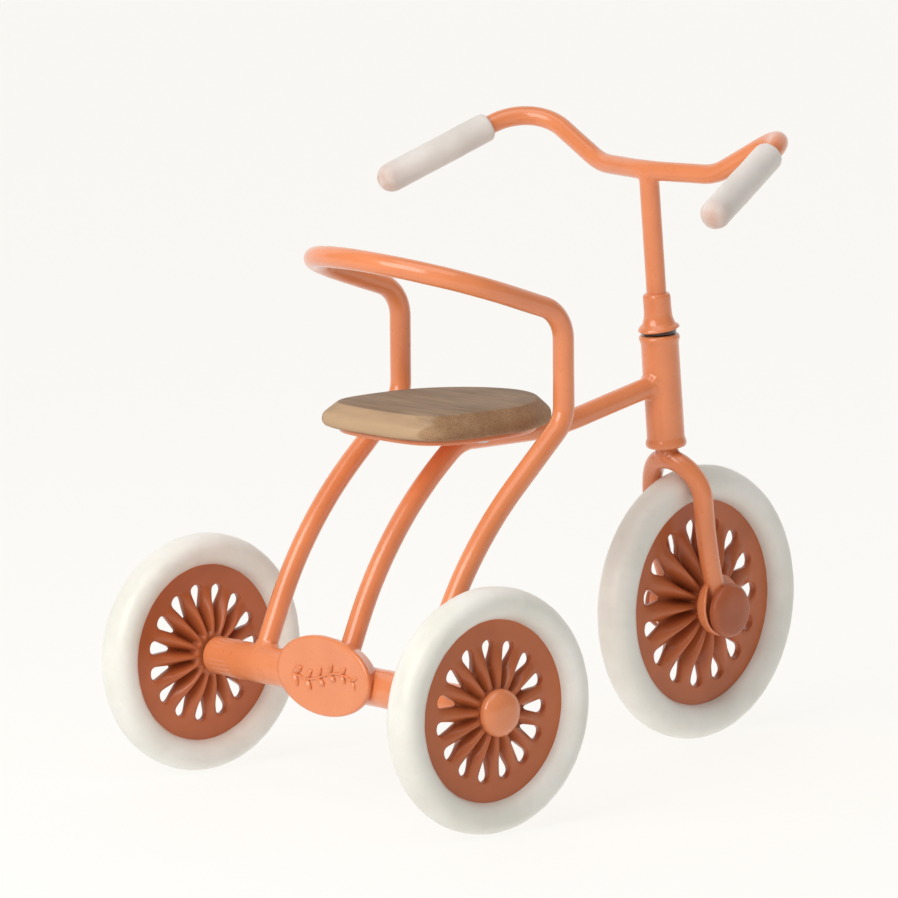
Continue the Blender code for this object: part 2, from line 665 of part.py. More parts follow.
def hub_cap_mesh(name):
    """Low dome with a blind hole for the end of the rod."""
    hole = flats_at(ROD_HOLE_RADIUS, ROUND_SIDES)
    hole_depth = HUB_CAP_HEIGHT / 2 + CONTACT_GAP
    foot = HUB_CAP_RADIUS - HUB_CAP_SKIRT / 2
    profile = [(0.0, hole_depth), (hole, hole_depth), (hole, 0.0), (foot, 0.0)]
    steps = 4
    for k in range(steps):
        angle = pi / 2 * k / steps
        height = HUB_CAP_SKIRT + (HUB_CAP_HEIGHT - HUB_CAP_SKIRT) * sin(angle)
        profile.append((HUB_CAP_RADIUS * cos(angle) ** HUB_CAP_FULLNESS, height))
    profile.append((0.0, HUB_CAP_HEIGHT))
    return turned(name, profile, ROUND_SIDES)


def build_rear_wheels(root):
    for word, side in WHEEL_SIDE.items():
        centre = Vector((0.0, side * REAR_TRACK / 2, GROUND_TO_REAR_AXLE))
        facing = outboard(side)

        def place(offset):
            return centre + Vector((0.0, side * offset, 0.0))

        axis = empty(f"rear_wheel_axis_{word}", root, centre, facing)
        disc = wheel_disc_mesh(f"rear_wheel_disc_{word}", REAR_DISC_RADIUS, REAR_HUB_OUTER,
                               REAR_HUB_INNER)
        add_part(f"rear_wheel_disc_{word}", disc, DISC_ENAMEL, axis,
                 rotation=(0.0, 0.0, RIB_TURN[word]))
        tyre = tyre_mesh(f"rear_tyre_{word}", REAR_TYRE_RADIUS, REAR_DISC_RADIUS,
                         REAR_TYRE_HALF_WIDTH)
        add_part(f"rear_tyre_{word}", tyre, IVORY_RUBBER, axis)
        washer = washer_mesh(f"rear_washer_{word}")
        add_part(f"rear_washer_{word}", washer, BRIGHT_STEEL, root,
                 place(-REAR_HUB_INNER - CONTACT_GAP - WASHER_THICKNESS), facing)
        cap = hub_cap_mesh(f"rear_hub_cap_{word}")
        add_part(f"rear_hub_cap_{word}", cap, ENAMEL, root, place(REAR_HUB_OUTER + CONTACT_GAP),
                 facing)


# ---------------------------------------------------------------- head tube and steering

def build_head_tube(head):
    """Open tube with a rolled rim at each end and a plain bush pressed in behind each rim."""
    bore = HEAD_RADIUS - HEAD_WALL
    rim = HEAD_RIM_RADIUS
    roll = HEAD_ROLL
    shoulder = (HEAD_RADIUS + rim) / 2
    profile = [(bore, HEAD_BOTTOM), (shoulder, HEAD_BOTTOM), (rim, HEAD_BOTTOM + roll),
               (shoulder, HEAD_BOTTOM + 2 * roll), (HEAD_RADIUS, HEAD_BOTTOM + 3 * roll),
               (HEAD_RADIUS, HEAD_TOP - 3 * roll), (shoulder, HEAD_TOP - 2 * roll),
               (rim, HEAD_TOP - roll), (shoulder, HEAD_TOP), (bore, HEAD_TOP)]
    add_part("head_tube", turned("head_tube", profile, ROUND_SIDES), ENAMEL, head)
    hole = flats_at(STEM_RADIUS + RUNNING_FIT, ROUND_SIDES)
    outer = bore * cos(pi / ROUND_SIDES) - RUNNING_FIT
    starts = {"upper": HEAD_TOP - HEAD_BUSH_LENGTH - roll, "lower": HEAD_BOTTOM + roll}
    for word, start in starts.items():
        name = f"head_bush_{word}"
        ring = [(hole, start), (outer, start), (outer, start + HEAD_BUSH_LENGTH),
                (hole, start + HEAD_BUSH_LENGTH)]
        add_part(name, turned(name, ring, ROUND_SIDES), BUSH_BRASS, head)


def build_stem(steering):
    """Round bar from the fork's crown, through the head tube, to the handlebar."""
    sideways = Vector((0.0, 1.0, 0.0))
    crown = in_side_plane(0.0, FORK_CROWN_Z)
    top = in_side_plane(0.0, BAR_CENTRE.z)
    path = [crown, in_side_plane(0.0, HEAD_BOTTOM), in_side_plane(0.0, HEAD_TOP + COLLAR_HEIGHT), top]
    crown_seat = (crown, sideways, FORK_RADIUS + CONTACT_GAP)
    bar_across = Matrix.Rotation(BAR_TWIST, 3, "Z") @ sideways
    bar_seat = (BAR_CENTRE, bar_across, BAR_RADIUS + CONTACT_GAP)
    stem = swept("steering_stem", path, STEM_RADIUS, ROUND_SIDES, sideways, crown_seat, bar_seat)
    add_part("steering_stem", stem, ENAMEL, steering)


def build_collar(steering):
    """Flared collar pressed on the stem; it rests on the head tube's top rim."""
    hole = flats_at(STEM_RADIUS + RUNNING_FIT, ROUND_SIDES)
    low = HEAD_TOP + CONTACT_GAP
    top = HEAD_TOP + COLLAR_HEIGHT
    wide = COLLAR_FLARE_RADIUS
    slim = COLLAR_TOP_RADIUS
    edge = COLLAR_LIP / 4
    waist = (COLLAR_LIP + COLLAR_NECK) / 2
    profile = [(hole, low), (wide - edge, low), (wide, low + 2 * edge), (wide - edge, low + 4 * edge),
               (slim + edge, low + waist), (slim, low + COLLAR_NECK), (slim, top - edge),
               (slim - edge, top), (hole, top)]
    add_part("headset_collar", turned("headset_collar", profile, ROUND_SIDES), ENAMEL, steering)


def fork_path():
    """Right eye, up the blade, over the crown and down to the left eye."""
    eye_middle = FORK_EYE_FACE + FORK_EYE_THICKNESS / 2
    arch_base = FORK_CROWN_Z - FORK_ARCH_HEIGHT
    blade_drop = arch_base + HUB_DROP
    lead = FORK_SHOULDER_LEAD * FORK_RAKE
    blade = []
    blade_steps = 5
    for k in range(blade_steps):
        share = 1 - k / blade_steps
        x = lead + (FORK_RAKE - lead) * share ** 2
        y = FORK_HALF_WIDTH + (eye_middle - FORK_HALF_WIDTH) * share ** 2
        blade.append(Vector((x, y, arch_base - blade_drop * share)))
    arch = []
    arch_steps = round(pi / 2 / BEND_STEP)
    for k in range(arch_steps):
        angle = pi / 2 * k / arch_steps
        x = lead * cos(angle) ** 2
        y = FORK_HALF_WIDTH * cos(angle)
        arch.append(Vector((x, y, arch_base + FORK_ARCH_HEIGHT * sin(angle))))
    half = blade + arch
    crown = Vector((0.0, 0.0, FORK_CROWN_Z))
    mirrored = [Vector((p.x, -p.y, p.z)) for p in half]
    return mirrored + [crown] + half[::-1]


def build_fork(steering):
    """Bent bar; each end is beaten into a round dished eye with the axle's hole."""
    forward = Vector((1.0, 0.0, 0.0))
    path = fork_path()
    start = path[0].lerp(path[1], FORK_END_TRIM)
    end = path[-1].lerp(path[-2], FORK_END_TRIM)
    bar_path = [start] + path[1:-1] + [end]
    bar = swept("fork", bar_path, FORK_RADIUS, TUBE_SIDES, forward)
    fork = add_part("fork", bar, ENAMEL, steering)
    hub = in_side_plane(FORK_RAKE, -HUB_DROP)
    thick = FORK_EYE_THICKNESS
    rim = FORK_EYE_RADIUS
    blank = [(0.0, -thick), (rim, -thick), (rim, thick + FORK_EYE_RIM), (0.0, thick + FORK_EYE_RIM)]
    hole = flats_at(ROD_HOLE_RADIUS, ROUND_SIDES)
    blade_reach = rim + FORK_RADIUS
    inward = CONTACT_GAP - FORK_EYE_FACE
    outward = 2 * BUTTON_RADIUS
    dish = rim - FORK_EYE_RIM_WALL
    around_button = BUTTON_RADIUS + CONTACT_GAP
    dish_edge = thick + FORK_EYE_RIM / 2
    above_rim = thick + FORK_EYE_RIM + CONTACT_GAP / 2
    spool = [(0.0, inward), (blade_reach, inward), (blade_reach, 0.0), (hole, 0.0), (hole, thick),
             (dish, thick), (dish, dish_edge), (around_button, above_rim),
             (around_button, outward), (0.0, outward)]
    for word, side in WHEEL_SIDE.items():
        place = hub + Vector((0.0, side * FORK_EYE_FACE, 0.0))
        for label, profile, operation in (("eye", blank, "UNION"), ("spool", spool, "DIFFERENCE")):
            name = f"fork_{label}_{word}"
            helper = add_helper(name, turned(name, profile, ROUND_SIDES), steering, place,
                                outboard(side))
            boolean(fork, helper, operation)


def button_mesh(name):
    """Mushroom cap on a short neck, with a blind hole for the end of the rod."""
    hole = flats_at(ROD_HOLE_RADIUS, ROUND_SIDES)
    hole_depth = BUTTON_NECK + BUTTON_HEIGHT / 2 + CONTACT_GAP
    rim = BUTTON_RADIUS
    edge = BUTTON_EDGE
    top = BUTTON_NECK + BUTTON_HEIGHT
    profile = [(0.0, hole_depth), (hole, hole_depth), (hole, 0.0), (BUTTON_NECK_RADIUS, 0.0),
               (BUTTON_NECK_RADIUS, BUTTON_NECK), (rim - edge, BUTTON_NECK),
               (rim, BUTTON_NECK + edge), (rim, top - 3 * edge), (rim - 2 * edge, top - edge),
               (rim / 2, top), (0.0, top + edge / 2)]
    return turned(name, profile, ROUND_SIDES)


def build_front_axle(steering):
    hub = in_side_plane(FORK_RAKE, -HUB_DROP)
    button_base = FORK_EYE_FACE + FORK_EYE_THICKNESS + CONTACT_GAP
    rod_end = button_base + BUTTON_NECK + BUTTON_HEIGHT / 2
    rod = [(0.0, -rod_end), (AXLE_ROD_RADIUS, -rod_end), (AXLE_ROD_RADIUS, rod_end), (0.0, rod_end)]
    add_part("front_axle_rod", turned("front_axle_rod", rod, ROUND_SIDES), BRIGHT_STEEL, steering,
             hub, (pi / 2, 0.0, 0.0))
    for word, side in WHEEL_SIDE.items():
        facing = outboard(side)
        washer_place = hub + Vector((0.0, side * (FRONT_HUB_FACE + CONTACT_GAP), 0.0))
        add_part(f"front_washer_{word}", washer_mesh(f"front_washer_{word}"), BRIGHT_STEEL, steering,
                 washer_place, facing)
        button_place = hub + Vector((0.0, side * button_base, 0.0))
        add_part(f"front_axle_button_{word}", button_mesh(f"front_axle_button_{word}"), ENAMEL,
                 steering, button_place, facing)


def build_front_wheel(steering):
    hub = in_side_plane(FORK_RAKE, -HUB_DROP)
    upright = (pi / 2, HEAD_ANGLE, 0.0)
    axis = empty("front_wheel_axis", steering, hub, upright)
    disc = wheel_disc_mesh("front_wheel_disc", FRONT_DISC_RADIUS, FRONT_HUB_FACE, FRONT_HUB_FACE)
    add_part("front_wheel_disc", disc, DISC_ENAMEL, axis, rotation=(0.0, 0.0, RIB_TURN["front"]))
    tyre = tyre_mesh("front_tyre", FRONT_TYRE_RADIUS, FRONT_DISC_RADIUS, FRONT_TYRE_HALF_WIDTH)
    add_part("front_tyre", tyre, IVORY_RUBBER, axis)


def mirrored_y(point):
    return Vector((point.x, -point.y, point.z))


def grip_mesh(name):
    """Sleeve closed at its round end; +Z runs from its mouth to its tip."""
    hole = flats_at(BAR_RADIUS + RUNNING_FIT, ROUND_SIDES)
    wide = GRIP_RADIUS
    dome = GRIP_DOME * wide
    profile = [(hole, 0.0), (wide - GRIP_MOUTH_EDGE, 0.0), (wide, GRIP_MOUTH_EDGE)]
    steps = 4
    for k in range(steps):
        angle = pi / 2 * k / steps
        profile.append((wide * cos(angle), GRIP_LENGTH - dome + dome * sin(angle)))
    profile.append((0.0, GRIP_LENGTH))
    hole_end = GRIP_LENGTH - GRIP_END_WALL
    return turned(name, [(0.0, hole_end), (hole, hole_end)] + profile, ROUND_SIDES)


def build_handlebar(steering):
    """One bent bar, swept up to the sides and back to the grips."""
    bar_axis = empty("handlebar_axis", steering, rotation=(0.0, 0.0, BAR_TWIST))
    pull = (BAR_GRIP_TIP - BAR_OUTER_CORNER).normalized()
    bar_end = BAR_GRIP_TIP - pull * (GRIP_END_WALL + CONTACT_GAP)
    level_end = BAR_CENTRE + Vector((0.0, BAR_STRAIGHT, 0.0))
    left = [BAR_CENTRE, level_end, BAR_INNER_CORNER, BAR_OUTER_CORNER, bar_end]
    left_path = rounded_path(left, [BAR_INNER_BEND, BAR_INNER_BEND, BAR_OUTER_BEND])
    right_path = [mirrored_y(p) for p in left_path]
    path = right_path[::-1] + left_path[1:]
    bar = swept("handlebar", path, BAR_RADIUS, TUBE_SIDES, Vector((1.0, 0.0, 0.0)))
    add_part("handlebar", bar, ENAMEL, bar_axis)
    mouth = BAR_GRIP_TIP - pull * GRIP_LENGTH
    for word, side in WHEEL_SIDE.items():
        start = mouth if side > 0 else mirrored_y(mouth)
        line = pull if side > 0 else mirrored_y(pull)
        facing = line.to_track_quat("Z", "Y").to_euler()
        name = f"grip_{word}"
        add_part(name, grip_mesh(name), IVORY_GRIP, bar_axis, start, facing)


# ---------------------------------------------------------------- seat

def seat_outline(inset, height, count):
    ring = superellipse(SEAT_FRONT - inset, SEAT_REAR - inset, SEAT_HALF_WIDTH - inset, count)
    return [Vector((x, y, height)) for x, y in ring]


def build_seat(root):
    count = 36
    centre = in_side_plane(SEAT_CENTRE_X, SEAT_BOTTOM)
    layers = [
        seat_outline(SEAT_BOTTOM_BEVEL, 0.0, count),
        seat_outline(0.0, SEAT_EDGE_LOW, count),
        seat_outline(SEAT_EDGE_DRAFT, SEAT_EDGE_HIGH, count),
        seat_outline(SEAT_TOP_BEVEL, SEAT_THICKNESS, count),
    ]
    seat = add_part("wooden_seat", stacked("wooden_seat", layers), BEECH, root, centre)
    plate_layers = [
        seat_outline(PLATE_INSET, 0.0, count),
        seat_outline(PLATE_INSET, PLATE_THICKNESS, count),
    ]
    plate_centre = in_side_plane(SEAT_CENTRE_X, PLATE_BOTTOM)
    plate = add_part("seat_plate", stacked("seat_plate", plate_layers), ENAMEL, root, plate_centre)

    sides = ROUND_SIDES // 2
    hole = flats_at(SCREW_RADIUS + RUNNING_FIT, sides)
    head = -PLATE_THICKNESS - 2 * CONTACT_GAP
    hole_end = SCREW_BITE + CONTACT_GAP
    pilot = [(0.0, head), (hole, head), (hole, hole_end), (0.0, hole_end)]
    crown = head - SCREW_HEAD_HEIGHT
    edge = SCREW_HEAD_HEIGHT / 2
    screw = [(0.0, crown), (SCREW_HEAD_RADIUS - edge, crown), (SCREW_HEAD_RADIUS, crown + edge),
             (SCREW_HEAD_RADIUS, head), (SCREW_RADIUS, head),
             (SCREW_RADIUS, SCREW_BITE - SCREW_RADIUS), (0.0, SCREW_BITE)]
    for word, side in WHEEL_SIDE.items():
        place = in_side_plane(SEAT_CENTRE_X, SEAT_BOTTOM, side * SCREW_OFFSET)
        cutter_name = f"screw_hole_cutter_{word}"
        cutter = add_helper(cutter_name, turned(cutter_name, pilot, sides), root, place)
        boolean(seat, cutter, "DIFFERENCE")
        boolean(plate, cutter, "DIFFERENCE")
        name = f"seat_screw_{word}"
        add_part(name, turned(name, screw, sides), BRIGHT_STEEL, root, place)


# ---------------------------------------------------------------- assembly

def stand_on_origin(root):
    """Move the tricycle so that the origin is at the middle of its box, on the ground."""
    bpy.context.view_layer.update()
    corners = []
    for part in bpy.context.scene.objects:
        if part.type == "MESH" and not part.hide_render:
            corners += [part.matrix_world @ vertex.co for vertex in part.data.vertices]
    low = [min(c[i] for c in corners) for i in range(3)]
    high = [max(c[i] for c in corners) for i in range(3)]
    root.location = (-(low[0] + high[0]) / 2, -(low[1] + high[1]) / 2, -low[2])


def main():
    clear_scene()
    root = empty("tricycle")
    build_frame_tubes(root)
    build_axle(root)
    build_badge(root)
    build_rear_wheels(root)
    build_seat(root)
    head = empty("head_axis", root, HEAD_PIVOT, (0.0, -HEAD_ANGLE, 0.0))
    build_head_tube(head)
    steering = empty("steering_axis", head, rotation=(0.0, 0.0, STEER_REST))
    build_stem(steering)
    build_collar(steering)
    build_fork(steering)
    build_front_axle(steering)
    build_front_wheel(steering)
    build_handlebar(steering)
    stand_on_origin(root)


main()
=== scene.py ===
# %% [markdown]
# # A doll-size tricycle
# The real object is a toy: bent round bar, three pressed wheel discs, ring tyres and a small
# wooden seat, with thick coral enamel on its metal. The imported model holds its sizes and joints.
# This lesson gives each piece the surface that the eye expects, and leaves the sizes alone.

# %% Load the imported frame
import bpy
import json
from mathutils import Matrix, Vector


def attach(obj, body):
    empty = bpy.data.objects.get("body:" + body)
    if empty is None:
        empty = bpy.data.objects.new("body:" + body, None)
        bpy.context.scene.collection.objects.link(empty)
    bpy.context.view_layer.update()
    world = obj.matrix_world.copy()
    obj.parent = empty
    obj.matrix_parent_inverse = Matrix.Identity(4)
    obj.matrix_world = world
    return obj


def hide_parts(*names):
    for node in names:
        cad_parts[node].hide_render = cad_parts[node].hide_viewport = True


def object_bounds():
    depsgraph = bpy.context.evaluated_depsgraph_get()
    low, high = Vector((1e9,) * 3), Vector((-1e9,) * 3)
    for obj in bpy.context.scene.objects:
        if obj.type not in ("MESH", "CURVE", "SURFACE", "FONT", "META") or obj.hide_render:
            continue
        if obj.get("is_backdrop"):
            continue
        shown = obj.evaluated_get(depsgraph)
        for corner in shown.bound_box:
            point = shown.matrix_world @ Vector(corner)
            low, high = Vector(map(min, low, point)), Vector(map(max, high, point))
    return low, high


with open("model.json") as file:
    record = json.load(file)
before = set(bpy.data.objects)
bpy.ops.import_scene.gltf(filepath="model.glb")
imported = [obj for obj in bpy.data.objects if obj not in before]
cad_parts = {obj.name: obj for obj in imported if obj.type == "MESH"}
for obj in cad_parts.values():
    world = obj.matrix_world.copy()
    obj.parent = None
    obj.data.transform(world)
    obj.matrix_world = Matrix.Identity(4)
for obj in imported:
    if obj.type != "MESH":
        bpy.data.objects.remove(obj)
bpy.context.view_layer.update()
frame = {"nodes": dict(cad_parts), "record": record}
print("packed nodes:", len(frame["nodes"]))

# %% Tools used throughout
import json
from math import acos, atan2, cos, hypot, pi, radians, sin, sqrt, tan

import bmesh
import bpy
from mathutils import Matrix, Vector, noise

NOISE_SEED = 11
noise.seed_set(NOISE_SEED)
print("Blender:", bpy.app.version_string)

# %% [markdown]
# ## Places
# Everything is drawn in millimetres from a point on the ground under the rear axle, because that
# is how a maker would measure the toy. A matrix carries each drawing to its place in metres. The
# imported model's joints give the hubs, and the head's place and angles are its driving sizes.

# %% Matrices of the bodies
METRES = 0.001
REAR_TYRE_RADIUS = 19.9
HEAD_ANGLE = radians(4.5)
STEER_REST = radians(6.5)
BAR_TWIST = radians(-4.5)
HEAD_PIVOT = Vector((70.8, 0.0, 60.2))
joints = {joint["name"]: joint for joint in frame["record"]["behaviour"]["joints"]}
left_hub = Vector(joints["rear_wheel_spin_left"]["pos_m"])
right_hub = Vector(joints["rear_wheel_spin_right"]["pos_m"])
front_hub = Vector(joints["front_wheel_spin"]["pos_m"])
ground = (left_hub + right_hub) / 2 - Vector((0.0, 0.0, REAR_TYRE_RADIUS * METRES))
FRAME = Matrix.Translation(ground) @ Matrix.Scale(METRES, 4)
HEAD = FRAME @ Matrix.Translation(HEAD_PIVOT) @ Matrix.Rotation(-HEAD_ANGLE, 4, "Y")
STEERING = HEAD @ Matrix.Rotation(STEER_REST, 4, "Z")
BAR = STEERING @ Matrix.Rotation(BAR_TWIST, 4, "Z")
hub_here = STEERING.inverted() @ front_hub
FRONT_HUB = STEERING @ Matrix.Translation(hub_here)
print("front hub in the steering's own frame:", [round(v, 2) for v in hub_here])


# %% Places of the wheels
def facing_out(side):
    """Turns +Z away from the tricycle, to the left (1) or to the right (-1)."""
    half_turn = Matrix.Rotation(pi if side > 0 else 0.0, 4, "Z")
    return half_turn @ Matrix.Rotation(pi / 2, 4, "X")


SIDES = {"left": 1, "right": -1}
HALF_TRACK = (left_hub - right_hub).length / METRES / 2
REAR_HUB = {}
for word, side in SIDES.items():
    spot = Vector((0.0, side * HALF_TRACK, REAR_TYRE_RADIUS))
    REAR_HUB[word] = FRAME @ Matrix.Translation(spot) @ facing_out(side)
FRONT_WHEEL = FRONT_HUB @ Matrix.Rotation(HEAD_ANGLE, 4, "Y") @ facing_out(-1)
print("half track in mm:", round(HALF_TRACK, 2))

# %% [markdown]
# ## Finishes
# Each finish is a small tree of nodes on object coordinates, in metres, so a grain of half a
# millimetre needs a noise scale of about 2000. The enamel on the bars is thick and smooth, with
# slow waves. The discs and axle buttons are duller, and their darker colour is painted shade. The
# tyres are a cloudy ivory rubber.


# %% Starting a finish
def new_finish(name):
    finish = bpy.data.materials.new(name)
    finish.use_nodes = True
    tree = finish.node_tree
    shader = tree.nodes["Principled BSDF"]
    place = tree.nodes.new("ShaderNodeTexCoord").outputs["Object"]
    return finish, tree, shader, place


def add_node(tree, kind, values=None, **settings):
    """Adds a node, sets its properties, and links or fills its inputs."""
    node = tree.nodes.new(kind)
    for key, value in settings.items():
        setattr(node, key, value)
    for key, value in (values or {}).items():
        if isinstance(value, bpy.types.NodeSocket):
            tree.links.new(value, node.inputs[key])
        else:
            node.inputs[key].default_value = value
    return node


def maths(tree, operation, *values):
    """One step of arithmetic on sockets or plain numbers."""
    return add_node(tree, "ShaderNodeMath", dict(enumerate(values)), operation=operation).outputs[0]


# %% Patterns and blends
def cloud(tree, place, scale, detail=2.0, roughness=0.5):
    return add_node(tree, "ShaderNodeTexNoise", {"Vector": place, "Scale": scale, "Detail": detail,
                                                 "Roughness": roughness}).outputs["Fac"]


def ramp(tree, value, stops):
    node = tree.nodes.new("ShaderNodeValToRGB")
    elements = node.color_ramp.elements
    while len(elements) < len(stops):
        elements.new(0.5)
    for element, (position, colour) in zip(elements, stops):
        element.position = position
        element.color = (*colour, 1.0)
    tree.links.new(value, node.inputs["Fac"])
    return node.outputs["Color"]


def levels(tree, value, low, high, from_low=0.3, from_high=0.7):
    """Maps a value from one range to another, and holds it within the second."""
    return add_node(tree, "ShaderNodeMapRange", {
        "Value": value, "From Min": from_low, "From Max": from_high, "To Min": low,
        "To Max": high}).outputs["Result"]


def blended(tree, share, first, second, mode="MIX"):
    """Blends two colours; a Mix node keeps its colour sockets at inputs 6 and 7 and output 2."""
    first, second = ((*c, 1.0) if isinstance(c, tuple) else c for c in (first, second))
    return add_node(tree, "ShaderNodeMix", {"Factor": share, 6: first, 7: second}, data_type="RGBA",
                    blend_type=mode).outputs[2]


def bumped(tree, height, distance, strength, under=None):
    values = {"Height": height, "Distance": distance, "Strength": strength}
    if under:
        values["Normal"] = under
    return add_node(tree, "ShaderNodeBump", values).outputs["Normal"]


def marked(tree, name):
    """Reads a mark that a piece carries on its points."""
    return add_node(tree, "ShaderNodeAttribute", attribute_name=name).outputs["Fac"]


# %% Coral enamel
def coral_paint(name, light, deep, gloss, speck, valley_shade=None):
    """Opaque paint with slow waves, orange peel and dust; the 'valley' mark blends in a painted shade
    colour.
    """
    finish, tree, shader, place = new_finish(name)
    drift = cloud(tree, place, 130.0, 3.0)
    colour = ramp(tree, drift, [(0.3, deep), (0.7, light)])
    dust = cloud(tree, place, 2600.0, 2.0, 0.7)
    specks = ramp(tree, dust, [(0.74, (0.0, 0.0, 0.0)), (0.80, (speck, speck, speck))])
    colour = blended(tree, specks, colour, tuple(0.5 * c for c in deep))
    # Painted shade: where a piece carries the 'valley' mark, its colour is drawn darker, as shade would
    # make it.
    if valley_shade:
        colour = blended(tree, marked(tree, "valley"), colour, valley_shade)
    tree.links.new(colour, shader.inputs["Base Color"])
    rough = levels(tree, cloud(tree, place, 420.0, 3.0), gloss - 0.05, gloss + 0.08)
    tree.links.new(rough, shader.inputs["Roughness"])
    waves = bumped(tree, cloud(tree, place, 240.0, 1.0), 0.00006, 0.35)
    peel = bumped(tree, cloud(tree, place, 1800.0, 1.0), 0.00001, 0.15, waves)
    tree.links.new(peel, shader.inputs["Normal"])
    shader.inputs["Specular IOR Level"].default_value = 0.35
    shader.inputs["Coat Weight"].default_value = 0.7
    shader.inputs["Coat Roughness"].default_value = 0.14
    return finish


CORAL = ((0.79, 0.255, 0.098), (0.72, 0.222, 0.083), 0.30, 0.08)
coral_enamel = coral_paint("coral_enamel", *CORAL)
# Painted shade: the axle buttons use a darker copy of the coral enamel, because their faces lie in shade.
shaded_button_enamel = coral_paint("shaded_button_enamel", (0.45, 0.115, 0.042), (0.36, 0.09, 0.032), 0.36, 0.3)
# Painted shade: the discs use a darker, less saturated copy of the coral enamel, as their faces lie in
# shade, and their 'valley' mark takes a still darker painted shade.
disc_enamel = coral_paint("disc_enamel", (0.53, 0.142, 0.046), (0.45, 0.115, 0.036), 0.34, 0.25,
                          (0.24, 0.055, 0.018))
for dull in (shaded_button_enamel, disc_enamel):
    dull.node_tree.nodes["Principled BSDF"].inputs["Coat Weight"].default_value = 0.15
# Painted shadow: the collar's copy of the coral enamel turns near-black on its 'valley' mark, in the gap
# under the skirt.
collar_enamel_gap_shadow = coral_paint("collar_enamel_gap_shadow", *CORAL, (0.015, 0.006, 0.004))
for enamel in (coral_enamel, collar_enamel_gap_shadow, shaded_button_enamel, disc_enamel):
    print(enamel.name, "has", len(enamel.node_tree.nodes), "nodes")


# %% Ivory rubber for tyres and grips
def ivory_rubber(name, light, deep, rough_value, tip_colour=None):
    """Cloudy rubber that light sinks into a little; an optional tint gathers on a grip's tip."""
    finish, tree, shader, place = new_finish(name)
    colour = ramp(tree, cloud(tree, place, 90.0, 3.0), [(0.35, deep), (0.65, light)])
    grime = levels(tree, cloud(tree, place, 700.0, 4.0, 0.7), 0.0, 0.12, 0.5, 0.8)
    colour = blended(tree, grime, colour, tuple(0.6 * c for c in deep))
    if tip_colour:
        mottle = levels(tree, cloud(tree, place, 500.0, 3.0), 0.4, 1.2)
        worn = maths(tree, "MULTIPLY", marked(tree, "tip"), mottle)
        worn.node.use_clamp = True
        colour = blended(tree, worn, colour, tip_colour)
    tree.links.new(colour, shader.inputs["Base Color"])
    rough = levels(tree, cloud(tree, place, 300.0, 2.0), rough_value - 0.05, rough_value + 0.07)
    tree.links.new(rough, shader.inputs["Roughness"])
    waves = bumped(tree, cloud(tree, place, 180.0, 2.0), 0.00010, 0.4)
    grain = bumped(tree, cloud(tree, place, 2600.0, 2.0), 0.00001, 0.6, waves)
    tree.links.new(grain, shader.inputs["Normal"])
    shader.inputs["Subsurface Weight"].default_value = 0.25
    shader.inputs["Subsurface Scale"].default_value = 0.0012
    shader.inputs["Subsurface Radius"].default_value = (1.0, 0.85, 0.6)
    return finish


tyre_rubber = ivory_rubber("ivory_tyre_rubber", (0.84, 0.825, 0.775), (0.76, 0.745, 0.68), 0.38)
grip_rubber = ivory_rubber("ivory_grip_rubber", (0.76, 0.71, 0.67), (0.68, 0.63, 0.59), 0.55,
                           (0.60, 0.40, 0.33))
print("rubbers:", tyre_rubber.name, "and", grip_rubber.name)


# %% Seat wood
def grain(tree, place, stretch, scale, detail, roughness=0.5):
    """A cloud drawn out along Y, the way the grain runs across the seat."""
    drawn = add_node(tree, "ShaderNodeMapping", {"Vector": place, "Scale": (1.0, stretch, 1.0)})
    return cloud(tree, drawn.outputs["Vector"], scale, detail, roughness)


